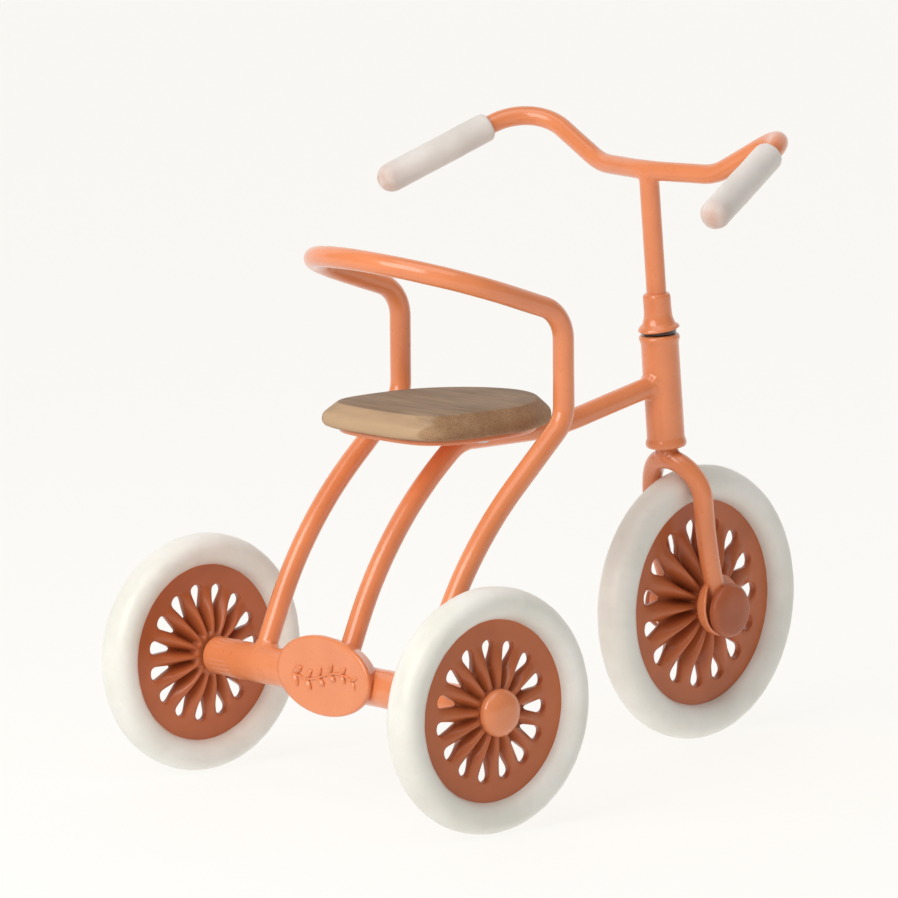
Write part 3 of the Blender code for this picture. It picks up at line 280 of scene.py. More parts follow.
def seat_wood_finish():
    """Unvarnished hardwood: long streaks on top, dark open pores where the grain is cut across, painted
    light on the faces turned to -X and painted shade mixed into the darker end grain.
    """
    finish, tree, shader, place = new_finish("seat_wood")
    streaks = grain(tree, place, 0.10, 900.0, 4.0, 0.6)
    bands = grain(tree, place, 0.25, 190.0, 2.0)
    colour = ramp(tree, bands, [(0.35, (0.30, 0.185, 0.105)), (0.65, (0.43, 0.29, 0.18))])
    fibre = ramp(tree, streaks, [(0.35, (0.50, 0.43, 0.36)), (0.62, (1.0, 1.0, 1.0))])
    colour = blended(tree, 0.75, colour, fibre, "MULTIPLY")
    hole = levels(tree, grain(tree, place, 0.07, 2900.0, 1.0), 0.0, 0.6, 0.64, 0.74)
    colour = blended(tree, hole, colour, (0.10, 0.055, 0.03))
    facing = add_node(tree, "ShaderNodeNewGeometry").outputs["Normal"]
    split = add_node(tree, "ShaderNodeSeparateXYZ", {"Vector": facing})
    grey = levels(tree, split.outputs["Z"], 0.0, 0.30, 0.80, 0.98)
    colour = blended(tree, grey, colour, (0.17, 0.13, 0.085))
    # Painted light: faces turned to -X, towards the key light, are drawn lighter.
    painted_light_rear_faces = levels(tree, split.outputs["X"], 0.75, 0.0, -0.75, -0.30)
    colour = blended(tree, painted_light_rear_faces, colour, (0.56, 0.375, 0.22))
    # Faces turned along Y are darker: partly real end grain, partly painted shade that draws a crisp edge
    # between the seat's lit and shaded facets.
    end_grain_and_shade = levels(tree, maths(tree, "ABSOLUTE", split.outputs["Y"]), 0.0, 0.60, 0.42, 0.50)
    colour = blended(tree, end_grain_and_shade, colour, (0.33, 0.17, 0.07))
    dots = levels(tree, cloud(tree, place, 3400.0, 2.0, 0.7), 0.0, 0.95, 0.55, 0.63)
    colour = blended(tree, maths(tree, "MULTIPLY", dots, end_grain_and_shade), colour, (0.13, 0.065, 0.03))
    tree.links.new(colour, shader.inputs["Base Color"])
    tree.links.new(levels(tree, streaks, 0.62, 0.8), shader.inputs["Roughness"])
    fibres = bumped(tree, streaks, 0.00006, 0.5)
    sunk = bumped(tree, maths(tree, "SUBTRACT", 1.0, hole), 0.00006, 0.7, fibres)
    tree.links.new(sunk, shader.inputs["Normal"])
    return finish


seat_wood = seat_wood_finish()
print("seat wood has", len(seat_wood.node_tree.nodes), "nodes")


# %% Steel and brass
def turned_metal(name, colour, rough_value):
    finish, tree, shader, place = new_finish(name)
    tone = cloud(tree, place, 600.0, 3.0)
    tree.links.new(ramp(tree, tone, [(0.3, tuple(0.8 * c for c in colour)), (0.7, colour)]),
                   shader.inputs["Base Color"])
    tree.links.new(levels(tree, tone, rough_value - 0.06, rough_value + 0.1), shader.inputs["Roughness"])
    shader.inputs["Metallic"].default_value = 1.0
    tree.links.new(bumped(tree, cloud(tree, place, 3500.0), 0.00001, 0.4), shader.inputs["Normal"])
    return finish


plain_steel = turned_metal("plain_steel", (0.56, 0.56, 0.57), 0.34)
bush_brass = turned_metal("bush_brass", (0.66, 0.48, 0.22), 0.36)
FINISHES = {
    "coral_enamel": coral_enamel, "disc_enamel": disc_enamel, "ivory_tyre": tyre_rubber,
    "ivory_grip": grip_rubber, "seat_wood": seat_wood, "plain_steel": plain_steel,
    "bush_brass": bush_brass,
}
print("finishes:", ", ".join(FINISHES))


# %% [markdown]
# ## From a drawing to a piece
# A finished piece is one mesh whose place is already in its points. `add_piece` does that, hangs
# it under the empty of the body that carries it, and hides the imported nodes it stands for.


# %% Adding a piece
def add_piece(name, mesh, place, body, slot, nodes=()):
    mesh.transform(place)
    mesh.name = name
    if not mesh.materials:
        mesh.materials.append(FINISHES[slot])
    piece = bpy.data.objects.new(name, mesh)
    bpy.context.scene.collection.objects.link(piece)
    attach(piece, body)
    if nodes:
        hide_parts(*nodes)
    print(f"{name}: {len(mesh.polygons)} faces")
    return piece


def settle(bm, name, sharp=40.0):
    """Joins seams, turns faces outwards and smooths all but the crisp edges."""
    bmesh.ops.remove_doubles(bm, verts=bm.verts, dist=0.0004)
    bmesh.ops.recalc_face_normals(bm, faces=bm.faces)
    mesh = bpy.data.meshes.new(name)
    bm.to_mesh(mesh)
    bm.free()
    mesh.shade_smooth()
    mesh.set_sharp_from_angle(angle=radians(sharp))
    return mesh


# %% [markdown]
# ## Bent bars
# The backrest, the middle stay, the fork and the handlebar are all bent from round bar. A bar
# is a path with a round section, which is exactly what Curve to Mesh makes, so one Geometry
# Nodes tree draws all of them. A slow ripple along the normal keeps the paint from looking
# machined. The path comes from straight runs with rounded corners, as on a bending jig.


# %% Running a node tree
def new_tree(name, sockets):
    tree = bpy.data.node_groups.new(name, "GeometryNodeTree")
    tree.interface.new_socket("Geometry", in_out="INPUT", socket_type="NodeSocketGeometry")
    for label, kind, value in sockets:
        socket = tree.interface.new_socket(label, in_out="INPUT", socket_type="NodeSocket" + kind)
        if value is not None:
            socket.default_value = value
    tree.interface.new_socket("Geometry", in_out="OUTPUT", socket_type="NodeSocketGeometry")
    start = tree.nodes.new("NodeGroupInput")
    return tree, start.outputs


def close_tree(tree, geometry, finish):
    real = add_node(tree, "GeometryNodeRealizeInstances", {"Geometry": geometry})
    painted = add_node(tree, "GeometryNodeSetMaterial",
                       {"Geometry": real.outputs["Geometry"], "Material": finish})
    end = tree.nodes.new("NodeGroupOutput")
    tree.links.new(painted.outputs["Geometry"], end.inputs["Geometry"])


def grow(name, tree, base, sizes, sharp=50.0):
    """Runs a tree on a base mesh and returns the result as a plain mesh."""
    holder = bpy.data.objects.new(name, base)
    bpy.context.scene.collection.objects.link(holder)
    step = holder.modifiers.new("grow", "NODES")
    step.node_group = tree
    for item in tree.interface.items_tree:
        if item.item_type == "SOCKET" and item.in_out == "INPUT" and item.name in sizes:
            step[item.identifier] = sizes[item.name]
    seen = bpy.context.evaluated_depsgraph_get()
    mesh = bpy.data.meshes.new_from_object(holder.evaluated_get(seen))
    holder.modifiers.remove(step)
    bpy.data.objects.remove(holder)
    mesh.shade_smooth()
    mesh.set_sharp_from_angle(angle=radians(sharp))
    return mesh


# %% The bent bar tree
BAR_SIDES = 28
BAR_RIPPLE = 0.05


def bent_bar_tree():
    tree, given = new_tree("bent_bar", [
        ("Radius", "Float", 1.75), ("Sides", "Int", BAR_SIDES), ("Step", "Float", 0.5),
        ("Ripple", "Float", BAR_RIPPLE), ("Finish", "Material", None)])
    path = add_node(tree, "GeometryNodeMeshToCurve", {"Mesh": given["Geometry"]})
    even = add_node(tree, "GeometryNodeResampleCurve",
                    {"Curve": path.outputs["Curve"], "Length": given["Step"]}, mode="LENGTH")
    circle = add_node(tree, "GeometryNodeCurvePrimitiveCircle",
                      {"Radius": given["Radius"], "Resolution": given["Sides"]})
    bar = add_node(tree, "GeometryNodeCurveToMesh",
                   {"Curve": even.outputs["Curve"], "Profile Curve": circle.outputs["Curve"],
                    "Fill Caps": True})
    wave = add_node(tree, "ShaderNodeTexNoise", {"Scale": 0.22, "Detail": 1.0})
    centred = maths(tree, "SUBTRACT", wave.outputs["Fac"], 0.5)
    height = maths(tree, "MULTIPLY", centred, given["Ripple"])
    outward = add_node(tree, "GeometryNodeInputNormal")
    push = add_node(tree, "ShaderNodeVectorMath", {0: outward.outputs["Normal"], "Scale": height},
                    operation="SCALE")
    coated = add_node(tree, "GeometryNodeSetPosition",
                      {"Geometry": bar.outputs["Mesh"], "Offset": push.outputs[0]})
    close_tree(tree, coated.outputs["Geometry"], given["Finish"])
    return tree


bent_bar = bent_bar_tree()
print("bent bar tree:", len(bent_bar.nodes), "nodes")


# %% A bar along a path
def line_mesh(paths):
    """One mesh of points and edges for a list of paths."""
    points = []
    edges = []
    for path in paths:
        first = len(points)
        points += [tuple(p) for p in path]
        edges += [(first + k, first + k + 1) for k in range(len(path) - 1)]
    mesh = bpy.data.meshes.new("line")
    mesh.from_pydata(points, edges, [])
    return mesh


def bar_mesh(name, path, radius):
    sizes = {"Radius": radius, "Finish": coral_enamel}
    return grow(name, bent_bar, line_mesh([path]), sizes)


# %% Rounded corners
BEND_STEP = radians(4.0)


def rounded_corner(corner, before, after, radius):
    back = (before - corner).normalized()
    ahead = (after - corner).normalized()
    opening = acos(max(-1.0, min(1.0, back.dot(ahead))))
    start = corner + back * (radius / tan(opening / 2))
    end = corner + ahead * (radius / tan(opening / 2))
    centre = corner + (back + ahead).normalized() * (radius / sin(opening / 2))
    turn = pi - opening
    steps = max(3, round(turn / BEND_STEP))
    first = start - centre
    last = end - centre
    weights = [turn * k / steps for k in range(steps + 1)]
    return [centre + (sin(turn - w) * first + sin(w) * last) / sin(turn) for w in weights]


def rounded_path(corners, radii):
    points = [corners[0]]
    for k, radius in enumerate(radii, start=1):
        points += rounded_corner(corners[k], corners[k - 1], corners[k + 1], radius)
    return points + [corners[-1]]


# %% [markdown]
# ## Stays, backrest and backbone
# Two bars make the frame. The backrest bar climbs from the axle on one side, turns upright at the
# seat, runs back as an arm, loops behind the seat and comes down the other side. The backbone
# climbs in the middle, runs level under the seat and rises to the head tube. Their feet run on
# into the axle, so no gap shows where the weld would be.

# %% Paths of the two frame bars
TUBE_RADIUS = 1.75
SIDE_TUBE_OFFSET = 20.5
UPRIGHT_X = 30.5
UPRIGHT_TOP_Z = 79.3
ARM_SLOPE = 0.34
HOOP_START_X = 18.5
HOOP_DEPTH = 16.0
HOOP_STEPS = 45
FOOT_ANGLE = radians(66.5)
FOOT_RUN = 10.5
STAY_BEND = 66.0
SIDE_TOP_ANGLE = radians(42.5)
BACKBONE_TOP_ANGLE = radians(38.0)
BACKBONE_Z = 56.7
RISE_X = 46.5
RISE_ANGLE = radians(12.4)
AXLE = Vector((0.0, 0.0, REAR_TYRE_RADIUS))


def heading(angle):
    return Vector((cos(angle), 0.0, sin(angle)))


def stay_points(top_angle):
    """Straight foot on the axle, then one long gentle bend."""
    foot = AXLE + Vector((-0.3, 0.0, 0.0))
    foot_end = foot + FOOT_RUN * heading(FOOT_ANGLE)
    points = [foot, foot_end]
    steps = round((FOOT_ANGLE - top_angle) / radians(1.5))
    for k in range(1, steps + 1):
        angle = FOOT_ANGLE + (top_angle - FOOT_ANGLE) * k / steps
        move = Vector((sin(FOOT_ANGLE) - sin(angle), 0.0, cos(angle) - cos(FOOT_ANGLE)))
        points.append(foot_end + STAY_BEND * move)
    return points


def backrest_path():
    stay = stay_points(SIDE_TOP_ANGLE)
    knee = stay[-1] + heading(SIDE_TOP_ANGLE) * ((UPRIGHT_X - stay[-1].x) / cos(SIDE_TOP_ANGLE))
    elbow = Vector((UPRIGHT_X, 0.0, UPRIGHT_TOP_Z))
    arm_end = Vector((HOOP_START_X, 0.0, UPRIGHT_TOP_Z + ARM_SLOPE * (UPRIGHT_X - HOOP_START_X)))
    side = stay[:-1] + rounded_path([stay[-1], knee, elbow, arm_end], [5.5, 6.0])
    offset = Vector((0.0, SIDE_TUBE_OFFSET, 0.0))
    hoop = []
    for k in range(1, HOOP_STEPS):
        angle = pi * k / HOOP_STEPS
        x = HOOP_START_X - HOOP_DEPTH * sin(angle)
        z = UPRIGHT_TOP_Z + ARM_SLOPE * (UPRIGHT_X - x)
        hoop.append(Vector((x, SIDE_TUBE_OFFSET * cos(angle), z)))
    return [p + offset for p in side] + hoop + [p - offset for p in reversed(side)]


def backbone_path():
    stay = stay_points(BACKBONE_TOP_ANGLE)
    climb = (BACKBONE_Z - stay[-1].z) / sin(BACKBONE_TOP_ANGLE)
    shoulder = stay[-1] + heading(BACKBONE_TOP_ANGLE) * climb
    rise = Vector((RISE_X, 0.0, BACKBONE_Z))
    head = Vector((HEAD_PIVOT.x, 0.0, BACKBONE_Z + (HEAD_PIVOT.x - RISE_X) * tan(RISE_ANGLE)))
    return stay[:-1] + rounded_path([stay[-1], shoulder, rise, head], [7.3, 40.0])


# %% Draw the frame bars
backrest_line = backrest_path()
backbone_line = backbone_path()
add_piece("backrest_bar", bar_mesh("backrest_bar", backrest_line, TUBE_RADIUS), FRAME, "frame",
          "coral_enamel", ["backrest_frame"])
add_piece("backbone_bar", bar_mesh("backbone_bar", backbone_line, TUBE_RADIUS), FRAME, "frame",
          "coral_enamel", ["backbone_tube"])


# %% [markdown]
# ## Turned pieces
# The axle tube, head tube, collar, caps, buttons and grips are round about one axis. Each is a
# half section spun about Z. The section is drawn with plain corners, and `soften` rounds them,
# because no painted edge is ever truly sharp.


# %% Spin a softened section
CORNER_STEPS = 4


def soften(points, radius):
    """Rounds the inner corners of an open section of (radius, height) points."""
    line = [Vector((r, z, 0.0)) for r, z in points]
    result = [line[0]]
    for before, corner, after in zip(line, line[1:], line[2:]):
        reach = min(radius, 0.45 * (corner - before).length, 0.45 * (after - corner).length)
        start = corner + (before - corner).normalized() * reach
        end = corner + (after - corner).normalized() * reach
        for k in range(CORNER_STEPS + 1):
            t = k / CORNER_STEPS
            result.append((1 - t) ** 2 * start + 2 * t * (1 - t) * corner + t * t * end)
    result.append(line[-1])
    return [(p.x, p.y) for p in result]


def spun(name, section, sides=96, closed=False, wobble=0.0):
    """Spins a section about Z. Ends on the axis become poles; wobble adds a hand-made unevenness."""
    bm = bmesh.new()
    rings = []
    for radius, height in section:
        if radius < 1e-6:
            rings.append([bm.verts.new((0.0, 0.0, height))])
            continue
        ring = []
        for k in range(sides):
            angle = 2 * pi * k / sides
            spot = Vector((radius * cos(angle), radius * sin(angle), height))
            if wobble:
                spot += wobble * noise.noise_vector(0.45 * spot)
            ring.append(bm.verts.new(spot))
        rings.append(ring)
    pairs = list(zip(rings, rings[1:]))
    if closed:
        pairs.append((rings[-1], rings[0]))
    for low, high in pairs:
        for k in range(sides):
            n = (k + 1) % sides
            corners = [low[k % len(low)], low[n % len(low)], high[n % len(high)], high[k % len(high)]]
            bm.faces.new(list(dict.fromkeys(corners)))
    return settle(bm, name)


def ease(value):
    """Smooth step from 0 to 1."""
    value = max(0.0, min(1.0, value))
    return value * value * (3 - 2 * value)


# %% Axle tube
AXLE_HALF = 32.5
AXLE_TUBE_RADIUS = 3.15
AXLE_RINGS = 60
section = [(0.0, -AXLE_HALF), (1.6, -AXLE_HALF), (AXLE_TUBE_RADIUS, -AXLE_HALF)]
section += [(AXLE_TUBE_RADIUS, -AXLE_HALF + 2 * AXLE_HALF * k / AXLE_RINGS) for k in range(1, AXLE_RINGS)]
section += [(AXLE_TUBE_RADIUS, AXLE_HALF), (1.6, AXLE_HALF), (0.0, AXLE_HALF)]
axle_mesh = spun("axle", soften(section, 0.5), 72, wobble=0.05)
axle_place = FRAME @ Matrix.Translation(AXLE) @ Matrix.Rotation(pi / 2, 4, "X")
add_piece("axle_beam", axle_mesh, axle_place, "frame", "coral_enamel", ["rear_axle_tube"])

# %% Head tube
HEAD_TOP = 9.9
HEAD_BOTTOM = -9.4
HEAD_RADIUS = 3.2
HEAD_RIM = 3.5
HEAD_BORE = 2.5
section = [(HEAD_BORE, HEAD_BOTTOM + 3.0), (HEAD_BORE, HEAD_BOTTOM), (3.25, HEAD_BOTTOM),
           (HEAD_RIM, HEAD_BOTTOM + 0.5), (3.38, HEAD_BOTTOM + 1.1), (HEAD_RADIUS, HEAD_BOTTOM + 1.6),
           (HEAD_RADIUS, -3.0), (HEAD_RADIUS, 3.0), (HEAD_RADIUS, HEAD_TOP - 1.5),
           (3.38, HEAD_TOP - 1.0), (HEAD_RIM, HEAD_TOP - 0.5), (3.2, HEAD_TOP),
           (HEAD_BORE, HEAD_TOP), (HEAD_BORE, HEAD_TOP - 3.0)]
sleeve_mesh = spun("head_sleeve", soften(section, 0.5), closed=True, wobble=0.05)
add_piece("head_sleeve", sleeve_mesh, HEAD, "frame", "coral_enamel", ["head_tube"])


# %% Collar
def collar_mesh():
    """Its skirt stands off on one side, and a near-black painted shadow fills the gap below it."""
    low = HEAD_TOP + 0.15
    top = HEAD_TOP + 7.0
    section = [(1.7, low), (2.9, low), (2.95, low + 0.35), (3.3, low + 0.1), (3.55, low + 0.4),
               (3.35, low + 1.0), (2.75, low + 1.7), (2.4, low + 2.7), (2.35, low + 3.7),
               (2.35, top - 0.4), (2.1, top), (1.6, top)]
    mesh = spun("collar", soften(section, 0.3), closed=True, wobble=0.10)
    # The 'valley' mark carries the painted shadow into the gap under the skirt.
    gap_shadow = mesh.attributes.new("valley", "FLOAT", "POINT")
    for point, mark in zip(mesh.vertices, gap_shadow.data):
        spot = point.co
        outer = ease((hypot(spot.x, spot.y) - 2.85) / 0.3)
        skirt = max(0.0, 1.0 - (spot.z - low) / 1.8)
        lift = 0.5 + 0.5 * cos(atan2(spot.y, spot.x) + radians(50.0))
        mark.value = 1.0 - ease((spot.z - low - 0.35) / 0.2 + outer)
        spot.z += skirt * outer * (0.2 + 0.6 * lift ** 2)
    mesh.materials.append(collar_enamel_gap_shadow)
    return mesh


add_piece("collar", collar_mesh(), STEERING, "steering", "coral_enamel", ["headset_collar"])

# %% [markdown]
# ## Fork and handlebar
# Both are bars again. The fork runs from one end of the front axle over the tyre to the other, and
# its ends are beaten into round dishes. The handlebar rises to the sides and turns back into the
# grips.

# %% Fork bar
FORK_RADIUS = 1.72
FORK_RAKE = hub_here.x
HUB_DROP = -hub_here.z
CROWN_Z = HEAD_BOTTOM - 0.4 - FORK_RADIUS
ARCH_HEIGHT = 7.2
HALF_WIDTH = 5.65
EYE_FACE = 4.2
EYE_THICKNESS = 1.3
BLADE_STEPS = 24
ARCH_STEPS = 20


def fork_path():
    arch_base = CROWN_Z - ARCH_HEIGHT
    lead = 0.4 * FORK_RAKE
    half = []
    for k in range(BLADE_STEPS):
        share = 1 - k / BLADE_STEPS
        y = HALF_WIDTH + (EYE_FACE + EYE_THICKNESS / 2 - HALF_WIDTH) * share ** 2
        drop = (arch_base + HUB_DROP) * share
        half.append(Vector((lead + (FORK_RAKE - lead) * share ** 2, y, arch_base - drop)))
    for k in range(ARCH_STEPS):
        angle = pi / 2 * k / ARCH_STEPS
        half.append(Vector((lead * cos(angle) ** 2, HALF_WIDTH * cos(angle),
                            arch_base + ARCH_HEIGHT * sin(angle))))
    other = [Vector((p.x, -p.y, p.z)) for p in half]
    return other[2:] + [Vector((0.0, 0.0, CROWN_Z))] + half[:1:-1]


fork_line = fork_path()
add_piece("fork_bar", bar_mesh("fork_bar", fork_line, FORK_RADIUS), STEERING, "steering",
          "coral_enamel", ["fork"])

# %% Dishes and axle buttons
DISH_FLOOR = 0.7
BUTTON_DROP = 0.8
dish = [(1.0, 0.0), (4.9, 0.0), (5.15, 0.6), (5.2, 1.9), (4.95, 2.15), (4.65, 1.9), (4.45, 0.9),
        (3.6, DISH_FLOOR), (1.0, DISH_FLOOR)]
button = [(0.0, 0.1), (2.8, 0.1), (2.8, 0.85), (4.35, 0.8), (4.6, 1.2), (4.58, 2.0), (4.0, 2.62),
          (2.4, 2.85), (0.0, 2.95)]
for word, side in SIDES.items():
    outwards = facing_out(side)
    dish_place = FRONT_HUB @ Matrix.Translation((0.0, side * EYE_FACE, 0.0)) @ outwards
    dish_mesh = spun("dish", soften(dish, 0.3), closed=True, wobble=0.06)
    for point in dish_mesh.vertices:
        ahead = atan2(point.co.y, -side * point.co.x) - radians(50.0)
        if point.co.z > DISH_FLOOR:
            rim = point.co.z - DISH_FLOOR
            point.co.z = DISH_FLOOR + rim * ease(0.65 - 0.75 * cos(ahead))
    add_piece(f"fork_dish_{word}", dish_mesh, dish_place, "steering", "coral_enamel")
    reach = side * (EYE_FACE + EYE_THICKNESS + 0.2)
    button_mesh = spun("button", soften(button, 0.35), wobble=0.05)
    button_mesh.materials.append(shaded_button_enamel)
    button_place = FRONT_HUB @ Matrix.Translation((0.0, reach, -BUTTON_DROP)) @ outwards
    add_piece(f"axle_button_{word}", button_mesh, button_place, "steering", "coral_enamel",
              [f"front_axle_button_{word}"])

# %% Stem and handlebar
STEM_RADIUS = 1.68
BAR_RADIUS = 1.63
BAR_CENTRE = Vector((0.15, 0.0, 37.8))
GRIP_TIP = Vector((-25.0, 39.6, 36.6))
bar_corners = [BAR_CENTRE, BAR_CENTRE + Vector((0.0, 2.6, 0.0)), Vector((2.1, 13.7, 37.7)),
               Vector((3.8, 31.2, 46.6)), GRIP_TIP]
pull = (bar_corners[-1] - bar_corners[-2]).normalized()
bar_corners[-1] = GRIP_TIP - 4.0 * pull
bar_left = rounded_path(bar_corners, [10.0, 10.0, 8.6])
bar_line = [Vector((p.x, -p.y, p.z)) for p in reversed(bar_left)] + bar_left[1:]
add_piece("bar", bar_mesh("bar", bar_line, BAR_RADIUS), BAR, "steering", "coral_enamel", ["handlebar"])
stem_line = [Vector((0.0, 0.0, CROWN_Z + 0.5)), Vector((0.0, 0.0, BAR_CENTRE.z - 0.7))]
add_piece("stem", bar_mesh("stem", stem_line, STEM_RADIUS), STEERING, "steering", "coral_enamel",
          ["steering_stem"])

# %% Grips
GRIP_LENGTH = 22.2
GRIP_RADIUS = 2.5
WORN_TIP = 4.5


def grip_mesh():
    """Moulded sleeve with a rolled mouth and a full round tip; 'tip' marks where hands wear it."""
    section = [(0.0, 0.35), (1.6, 0.35), (2.2, 0.0), (GRIP_RADIUS, 0.45), (GRIP_RADIUS, 1.2)]
    section += [(GRIP_RADIUS, 1.2 + 17.0 * k / 20) for k in range(1, 20)]
    section += [(GRIP_RADIUS * cos(a), GRIP_LENGTH - GRIP_RADIUS + GRIP_RADIUS * sin(a))
                for a in [pi / 2 * k / 10 for k in range(10)]]
    section.append((0.0, GRIP_LENGTH))
    mesh = spun("grip", soften(section, 0.3), 64, wobble=0.06)
    tip = mesh.attributes.new("tip", "FLOAT", "POINT")
    for point, mark in zip(mesh.vertices, tip.data):
        mark.value = max(0.0, min(1.0, (point.co.z - GRIP_LENGTH + WORN_TIP) / WORN_TIP)) ** 1.5
    return mesh


for word, side in SIDES.items():
    line = Vector((pull.x, side * pull.y, pull.z))
    mouth = Vector((GRIP_TIP.x, side * GRIP_TIP.y, GRIP_TIP.z)) - GRIP_LENGTH * line
    turn = line.to_track_quat("Z", "Y").to_matrix().to_4x4()
    add_piece(f"grip_sleeve_{word}", grip_mesh(), BAR @ Matrix.Translation(mouth) @ turn, "steering",
              "ivory_grip", [f"grip_{word}"])


# %% [markdown]
# ## Wheel discs
# Each disc is one pressing: fifteen flutes climb to the hub, with a teardrop hole between each
# two. One slice of a fifteenth is drawn as a fine grid that wraps the hole. A Geometry Nodes
# tree turns copies of it round the hub and joins their edges, as a press tool repeats its punch.

# %% One slice of a disc
RIB_COUNT = 15
SECTOR = 2 * pi / RIB_COUNT
PLATE = 0.75
BORE = 1.03
ACROSS = 16
ALONG = 18
RINGS = 7
INNER_ROWS = 16
OUTER_ROWS = 6
HOLE_ROW_WIDTHS = (8.6, 2.5)
HOLE_CENTRE_IN = 4.3
HOLE_WIDE_SHARE = 0.077
HOLE_LENGTH = 2.75
HOLE_TIP = 0.42
RIM_UNDER_TYRE = 1.0
print("one slice spans", round(SECTOR * 180 / pi), "degrees")


# %% The pressed face and its holes
def flute_height(radius, angle, disc_radius, hub_height):
    """Height of the pressed face above its mid-plane; angle 0 is the middle of a hole."""
    rise = hub_height - PLATE
    foot = disc_radius - 3.2
    out = max(0.0, min(1.0, (radius - 3.4) / (foot - 3.4)))
    crest = 1 - ease(out ** 1.45)
    valley = 0.25 * (1 - ease((radius - 3.6) / 3.0)) + 0.75 * (1 - ease((radius - 3.1) / 0.8))
    scoop = 0.55 * ease((radius - 3.8) / 1.6) * (1 - ease((radius - foot + 2.2) / 2.6))
    ridge = (0.5 - 0.5 * cos(RIB_COUNT * angle)) ** (0.5 + 0.8 * out)
    return PLATE + (rise * crest) * ridge + (rise * valley - scoop) * (1 - ridge)


def painted_valley_shade(radius, angle, disc_radius):
    """How much painted shade darkens the valley between two flutes, from the hub to the hole."""
    between = (0.5 + 0.5 * cos(RIB_COUNT * angle)) ** 2.2
    start = ease((radius - 3.2) / 0.9)
    end = 1 - ease((radius - disc_radius + 8.5) / 5.5)
    return 0.62 * between * start * end


def hole_reach(direction, length, wide, tip):
    """Distance from the hole's round centre to its edge; direction 0 points at the hub."""
    turn = abs(direction)
    tangent = acos((wide - tip) / length)
    if turn >= tangent:
        return wide
    side = wide / cos(tangent - turn)
    inside = tip ** 2 - (length * sin(turn)) ** 2
    if turn < pi / 4 and inside > 0:
        return min(side, length * cos(turn) + sqrt(inside))
    return side


# %% The grid of one slice
def hole_window(low_edge, high_edge, angles):
    """The outline, as (radius, angle), of the stretch of a slice that the hole is cut in."""
    edge = [(low_edge, a) for a in angles]
    edge += [(low_edge + (high_edge - low_edge) * k / ALONG, angles[-1]) for k in range(1, ALONG)]
    edge += [(high_edge, a) for a in reversed(angles)]
    edge += [(high_edge + (low_edge - high_edge) * k / ALONG, angles[0]) for k in range(1, ALONG)]
    return edge


def slice_mesh(disc_radius, outer_hub, inner_hub):
    low_edge, high_edge = (disc_radius - width for width in HOLE_ROW_WIDTHS)
    rim = disc_radius + RIM_UNDER_TYRE
    hole_centre = disc_radius - HOLE_CENTRE_IN
    hole_wide = HOLE_WIDE_SHARE * disc_radius
    half = SECTOR / 2
    bm = bmesh.new()
    angles = [-half + SECTOR * k / ACROSS for k in range(ACROSS + 1)]

    def spot(radius, angle, sign, hub, sink=0.0):
        height = flute_height(radius, angle, disc_radius, hub) - sink
        return bm.verts.new((radius * cos(angle), radius * sin(angle), sign * height))

    def grid(radii, sign, hub):
        rows = [[spot(r, a, sign, hub) for a in angles] for r in radii]
        for low, high in zip(rows, rows[1:]):
            for k in range(ACROSS):
                bm.faces.new((low[k], low[k + 1], high[k + 1], high[k]))
        return rows

    def collar_of_hole(sign, hub):
        edge = hole_window(low_edge, high_edge, angles)
        loops = []
        for k in range(RINGS + 1):
            t = (k / RINGS) ** 0.75
            sink = 0.16 * max(0.0, (t - 0.86) / 0.14) ** 2
            loop = []
            for radius, angle in edge:
                x = radius * cos(angle) - hole_centre
                y = radius * sin(angle)
                direction = atan2(y, -x)
                reach = hole_reach(direction, HOLE_LENGTH, hole_wide, HOLE_TIP)
                shrink = (1 - t) + t * reach / hypot(x, y)
                px = hole_centre + x * shrink
                py = y * shrink
                loop.append(spot(hypot(px, py), atan2(py, px), sign, hub, sink))
            loops.append(loop)
        count = len(edge)
        for low, high in zip(loops, loops[1:]):
            for k in range(count):
                n = (k + 1) % count
                bm.faces.new((low[k], low[n], high[n], high[k]))
        return loops[-1]

    inner_radii = [BORE + (low_edge - BORE) * k / INNER_ROWS for k in range(INNER_ROWS + 1)]
    outer_radii = [high_edge + (rim - high_edge) * k / OUTER_ROWS for k in range(OUTER_ROWS + 1)]
    faces = []
    for sign, hub in ((1, outer_hub), (-1, inner_hub)):
        near = grid(inner_radii, sign, hub)
        far = grid(outer_radii, sign, hub)
        faces.append((near[0], far[-1], collar_of_hole(sign, hub)))
    for upper, lower in zip(*faces):
        loop = len(upper) > ACROSS + 1
        for k in range(len(upper) if loop else ACROSS):
            n = (k + 1) % len(upper)
            bm.faces.new((upper[k], upper[n], lower[n], lower[k]))
    bmesh.ops.remove_doubles(bm, verts=bm.verts, dist=0.0004)
    bmesh.ops.recalc_face_normals(bm, faces=bm.faces)
    mesh = bpy.data.meshes.new("slice")
    bm.to_mesh(mesh)
    bm.free()
    # The 'valley' mark carries painted shade into the valleys between the flutes.
    valley = mesh.attributes.new("valley", "FLOAT", "POINT")
    for point, mark in zip(mesh.vertices, valley.data):
        x, y = point.co.x, point.co.y
        mark.value = painted_valley_shade(hypot(x, y), atan2(y, x), disc_radius)
    return mesh


